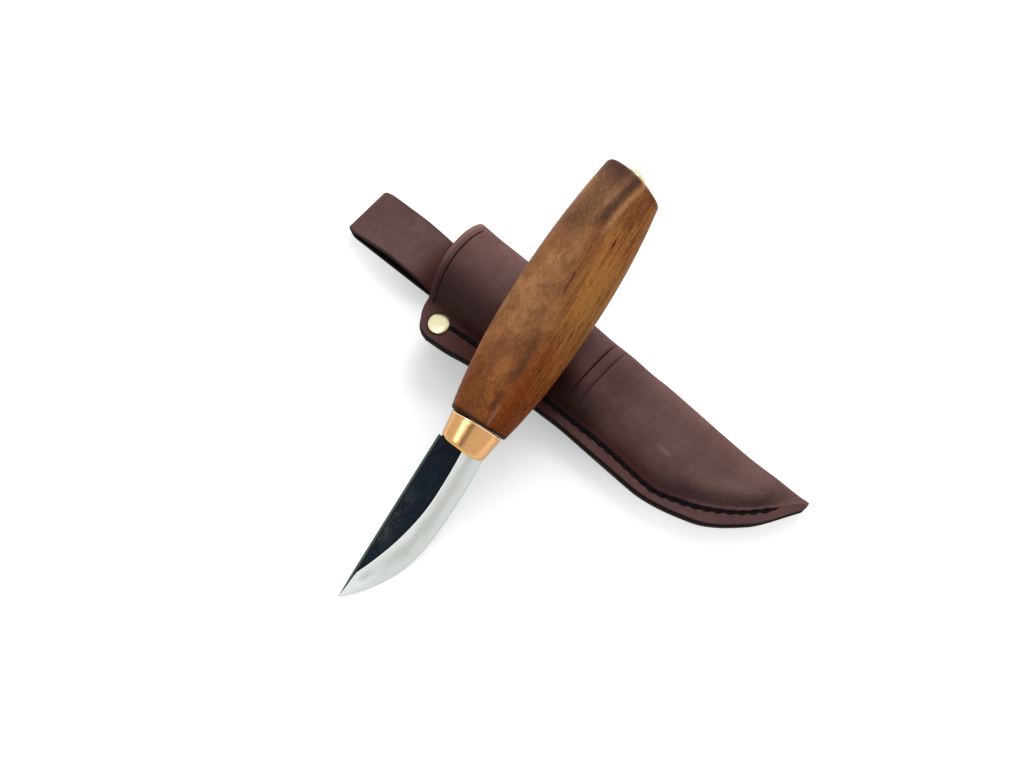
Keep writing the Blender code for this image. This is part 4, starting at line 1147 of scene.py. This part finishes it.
def joined(objects):
    """Joins objects into the first one's mesh."""
    alone(objects[0])
    for obj in objects[1:]:
        obj.select_set(True)
    bpy.ops.object.join()
    return bpy.context.object


def make_stitch():
    """One stitch of two strands that part and meet."""
    sections = [(-x, wide, thick) for x, wide, thick in reversed(STRAND_END)]
    sections += [(0.0, 0.9, 1.0), *STRAND_END]
    strands = [drawn_out("stitch", sections, 8), drawn_out("stitch", sections, 8)]
    for strand, side in zip(strands, (-1, 1)):
        for vertex in strand.data.vertices:
            bow = 1 - (vertex.co.x / STITCH_HALF) ** 2
            vertex.co.y += side * STITCH_SPREAD * bow
            vertex.co.z += STITCH_DIP * (bow - 1)
    return joined(strands[::-1])


def seam_route():
    """Each stitch's place along the sheath, with the seam's slope across and upwards."""
    route = []
    x = SEAM_START
    while x < SEAM_END:
        rise = seam_y(x + 0.5) - seam_y(x - 0.5)
        climb = flange_z(x + 0.5) - flange_z(x - 0.5)
        route.append((x, rise, climb))
        x += STITCH_PITCH / sqrt(1 + rise**2 + climb**2)
    return route


def make_stitches(thread):
    """One stitch, copied along the seam on both faces of the flange."""
    model = make_stitch()
    route = seam_route()
    for name, side, node in (("seam_front", 1, "seam_thread_front"), ("seam_back", -1, "seam_thread_back")):
        copies = []
        for x, rise, climb in route:
            alone(model)
            bpy.ops.object.duplicate()
            copy = bpy.context.object
            lift = flange_fill(x, seam_y(x)) if side > 0 else 0.0
            height = flange_z(x) + lift + side * (FLANGE_LAYER + STITCH_LIFT)
            turn = Euler((0.0, -atan(climb), atan(rise) + STITCH_LEAN)).to_matrix().to_4x4()
            turn = turn @ Matrix.Diagonal((1, 1, side, 1))
            settle(copy, SHEATH_PLACE @ Matrix.Translation((x, seam_y(x), height)) @ turn)
            copies.append(copy)
        seam = joined(copies)
        seam.name = name
        outward(seam, MM)
        smooth(seam, 60)
        dressed(seam, "sheath", "thread", thread, replaces=(node,))
    bpy.data.objects.remove(model)


def make_rivets(brass):
    """The seam's rivet, with a head on each face, and the loop's two flat rivets."""
    x, y = RIVET_SPOT
    top = flange_z(x) + FLANGE_LAYER + RIVET_GAP
    bottom = top - 2 * FLANGE_LAYER - 2 * RIVET_GAP
    cap = lathe_turned("rivet_head", [(r, top + z) for r, z in RIVET_HEAD], 64)
    base = lathe_turned("rivet_base", [(r, bottom - z) for r, z in reversed(RIVET_HEAD)], 64)
    for obj, node in ((cap, "rivet_cap"), (base, "rivet_post")):
        smooth(obj, 40)
        settle(obj, SHEATH_PLACE @ Matrix.Translation((x, y, 0.0)))
        dressed(obj, "sheath", "brass", brass, replaces=(node,))
    for node in ("loop_rivet_1", "loop_rivet_2"):
        finish_solid(node, brass)


# Stage


def make_floor():
    """A white table that shines for the camera; away from the crossing it shines brighter and takes less
    colour, which paints light into the set's shadow there.
    """
    floor = primitive("table", bpy.ops.mesh.primitive_plane_add, size=6.0)
    white = Finish("white_table", roughness=0.9, specular_ior_level=0.1, emission_strength=1.0)
    camera, mirrored = white.rays()
    inputs = {0: white.place, 1: CROSSING}
    away = white.node("ShaderNodeVectorMath", {"operation": "DISTANCE"}, inputs, "Value")
    far = white.step(away, 40.0, 95.0)
    seen = white.blend(far, grey(0.7), grey(0.36))
    # Brighter away from the crossing: painted light over the shadow
    glow_and_painted_light = white.blend(far, (0.46, 0.475, 0.475, 1.0), grey(0.78))
    white.tone = white.blend(camera, grey(0.36), seen)
    white.fed(emission_color=white.blend(camera + mirrored, grey(0.0), glow_and_painted_light))
    floor.data.materials.append(white.material)


def make_room():
    """A bright room with a window's light behind the set and a dark corner that the ferrule mirrors."""
    world = bpy.data.worlds.new("bright_room")
    bpy.context.scene.world = world
    room = Nodes(world)
    camera, mirrored = room.rays()
    towards = room.node("ShaderNodeTexCoord", {}, {}, "Generated")

    def facing(direction):
        inputs = {0: towards, 1: direction}
        return room.node("ShaderNodeVectorMath", {"operation": "DOT_PRODUCT"}, inputs, "Value")

    ambient = room.blend(room.step(facing(WINDOW_SIDE), 0.2, 0.98), grey(0.05), grey(1.5))
    dark = room.step(facing(DARK_CORNER), 0.8, 0.9) * room.step(abs(facing(DARK_SIDE)), 0.14, 0.09)
    reflected = room.blend(dark * 0.85, grey(0.82), grey(0.0))
    light = room.blend(mirrored, ambient, reflected)
    light = room.blend(camera, light, grey(1.0))
    room.tree.links.new(light.link, room.tree.nodes["Background"].inputs["Color"])


def make_lamps():
    """A large soft lamp behind the set, and a lamp that shows only as the gleam on metal."""
    for name, place, aim, width, height, watts, mirrored in (
        ("window_lamp", (-0.31, 0.9, 0.73), (-0.02, -0.02, 0.02), 0.9, 0.9, 12.7, False),
        ("catch_lamp", (-0.06, -0.386, 0.965), (-0.049, -0.055, 0.022), 0.4, 0.9, 3.2, True),
    ):
        data = bpy.data.lights.new(name, "AREA")
        data.shape = "ELLIPSE"
        data.size = width
        data.size_y = height
        data.energy = watts
        lamp = bpy.data.objects.new(name, data)
        lamp.location = place
        lamp.rotation_euler = (Vector(aim) - Vector(place)).to_track_quat("-Z", "Y").to_euler()
        lamp.visible_glossy = mirrored
        lamp.visible_diffuse = not mirrored
        bpy.context.scene.collection.objects.link(lamp)


def make_camera():
    """The photograph's view: from above, over the blade, with a wide lens."""
    data = bpy.data.cameras.new("view")
    data.lens = LENS
    data.clip_start = 0.01
    camera = bpy.data.objects.new("view", data)
    turn = Matrix((CAMERA_RIGHT, CAMERA_UP, CAMERA_BACK)).transposed().to_4x4()
    camera.matrix_world = Matrix.Translation(CAMERA_SPOT * MM) @ turn
    bpy.context.scene.collection.objects.link(camera)
    bpy.context.scene.camera = camera


def main():
    # Colours past the ferrule's lip and bead: (start, end, bow, tint); the lip's is a tint, the bead's pale
    # one a painted highlight
    ends = ((71.3, 70.7, -0.5, colour(226, 174, 104)), (80.1, 80.4, 0.85, colour(255, 226, 180)))
    brass = brass_finish("copper_brass", colour(233, 177, 117), 0.12, KNIFE_LOCATION, KNIFE_TURN, ends)
    pale_brass = brass_finish("pale_brass", colour(255, 251, 204), 0.22)
    leather, edge = leather_finish(), edge_finish()
    flesh = flesh_finish("leather_flesh_side", colour(70, 54, 48), colour(108, 88, 76))
    strap_flesh = flesh_finish("strap_flesh_side", colour(24, 16, 15), colour(46, 32, 28))
    steel = ground_steel_finish("satin_bevel", colour(241, 245, 242), 0.3)
    edge_steel = ground_steel_finish("honed_edge", colour(214, 220, 217), 0.25)
    make_blade(forge_scale_finish(), steel, edge_steel)
    make_ferrule(brass)
    make_handle(wood_finish())
    make_butt(pale_brass)
    make_sheath(leather, flesh, edge)
    make_belt_loop(leather, strap_flesh, edge)
    make_stitches(thread_finish())
    make_rivets(pale_brass)
    finish_solid("blade_liner", liner_finish())
    make_floor()
    make_room()
    make_lamps()
    make_camera()
    bpy.context.scene.view_settings.view_transform = "Standard"


main()
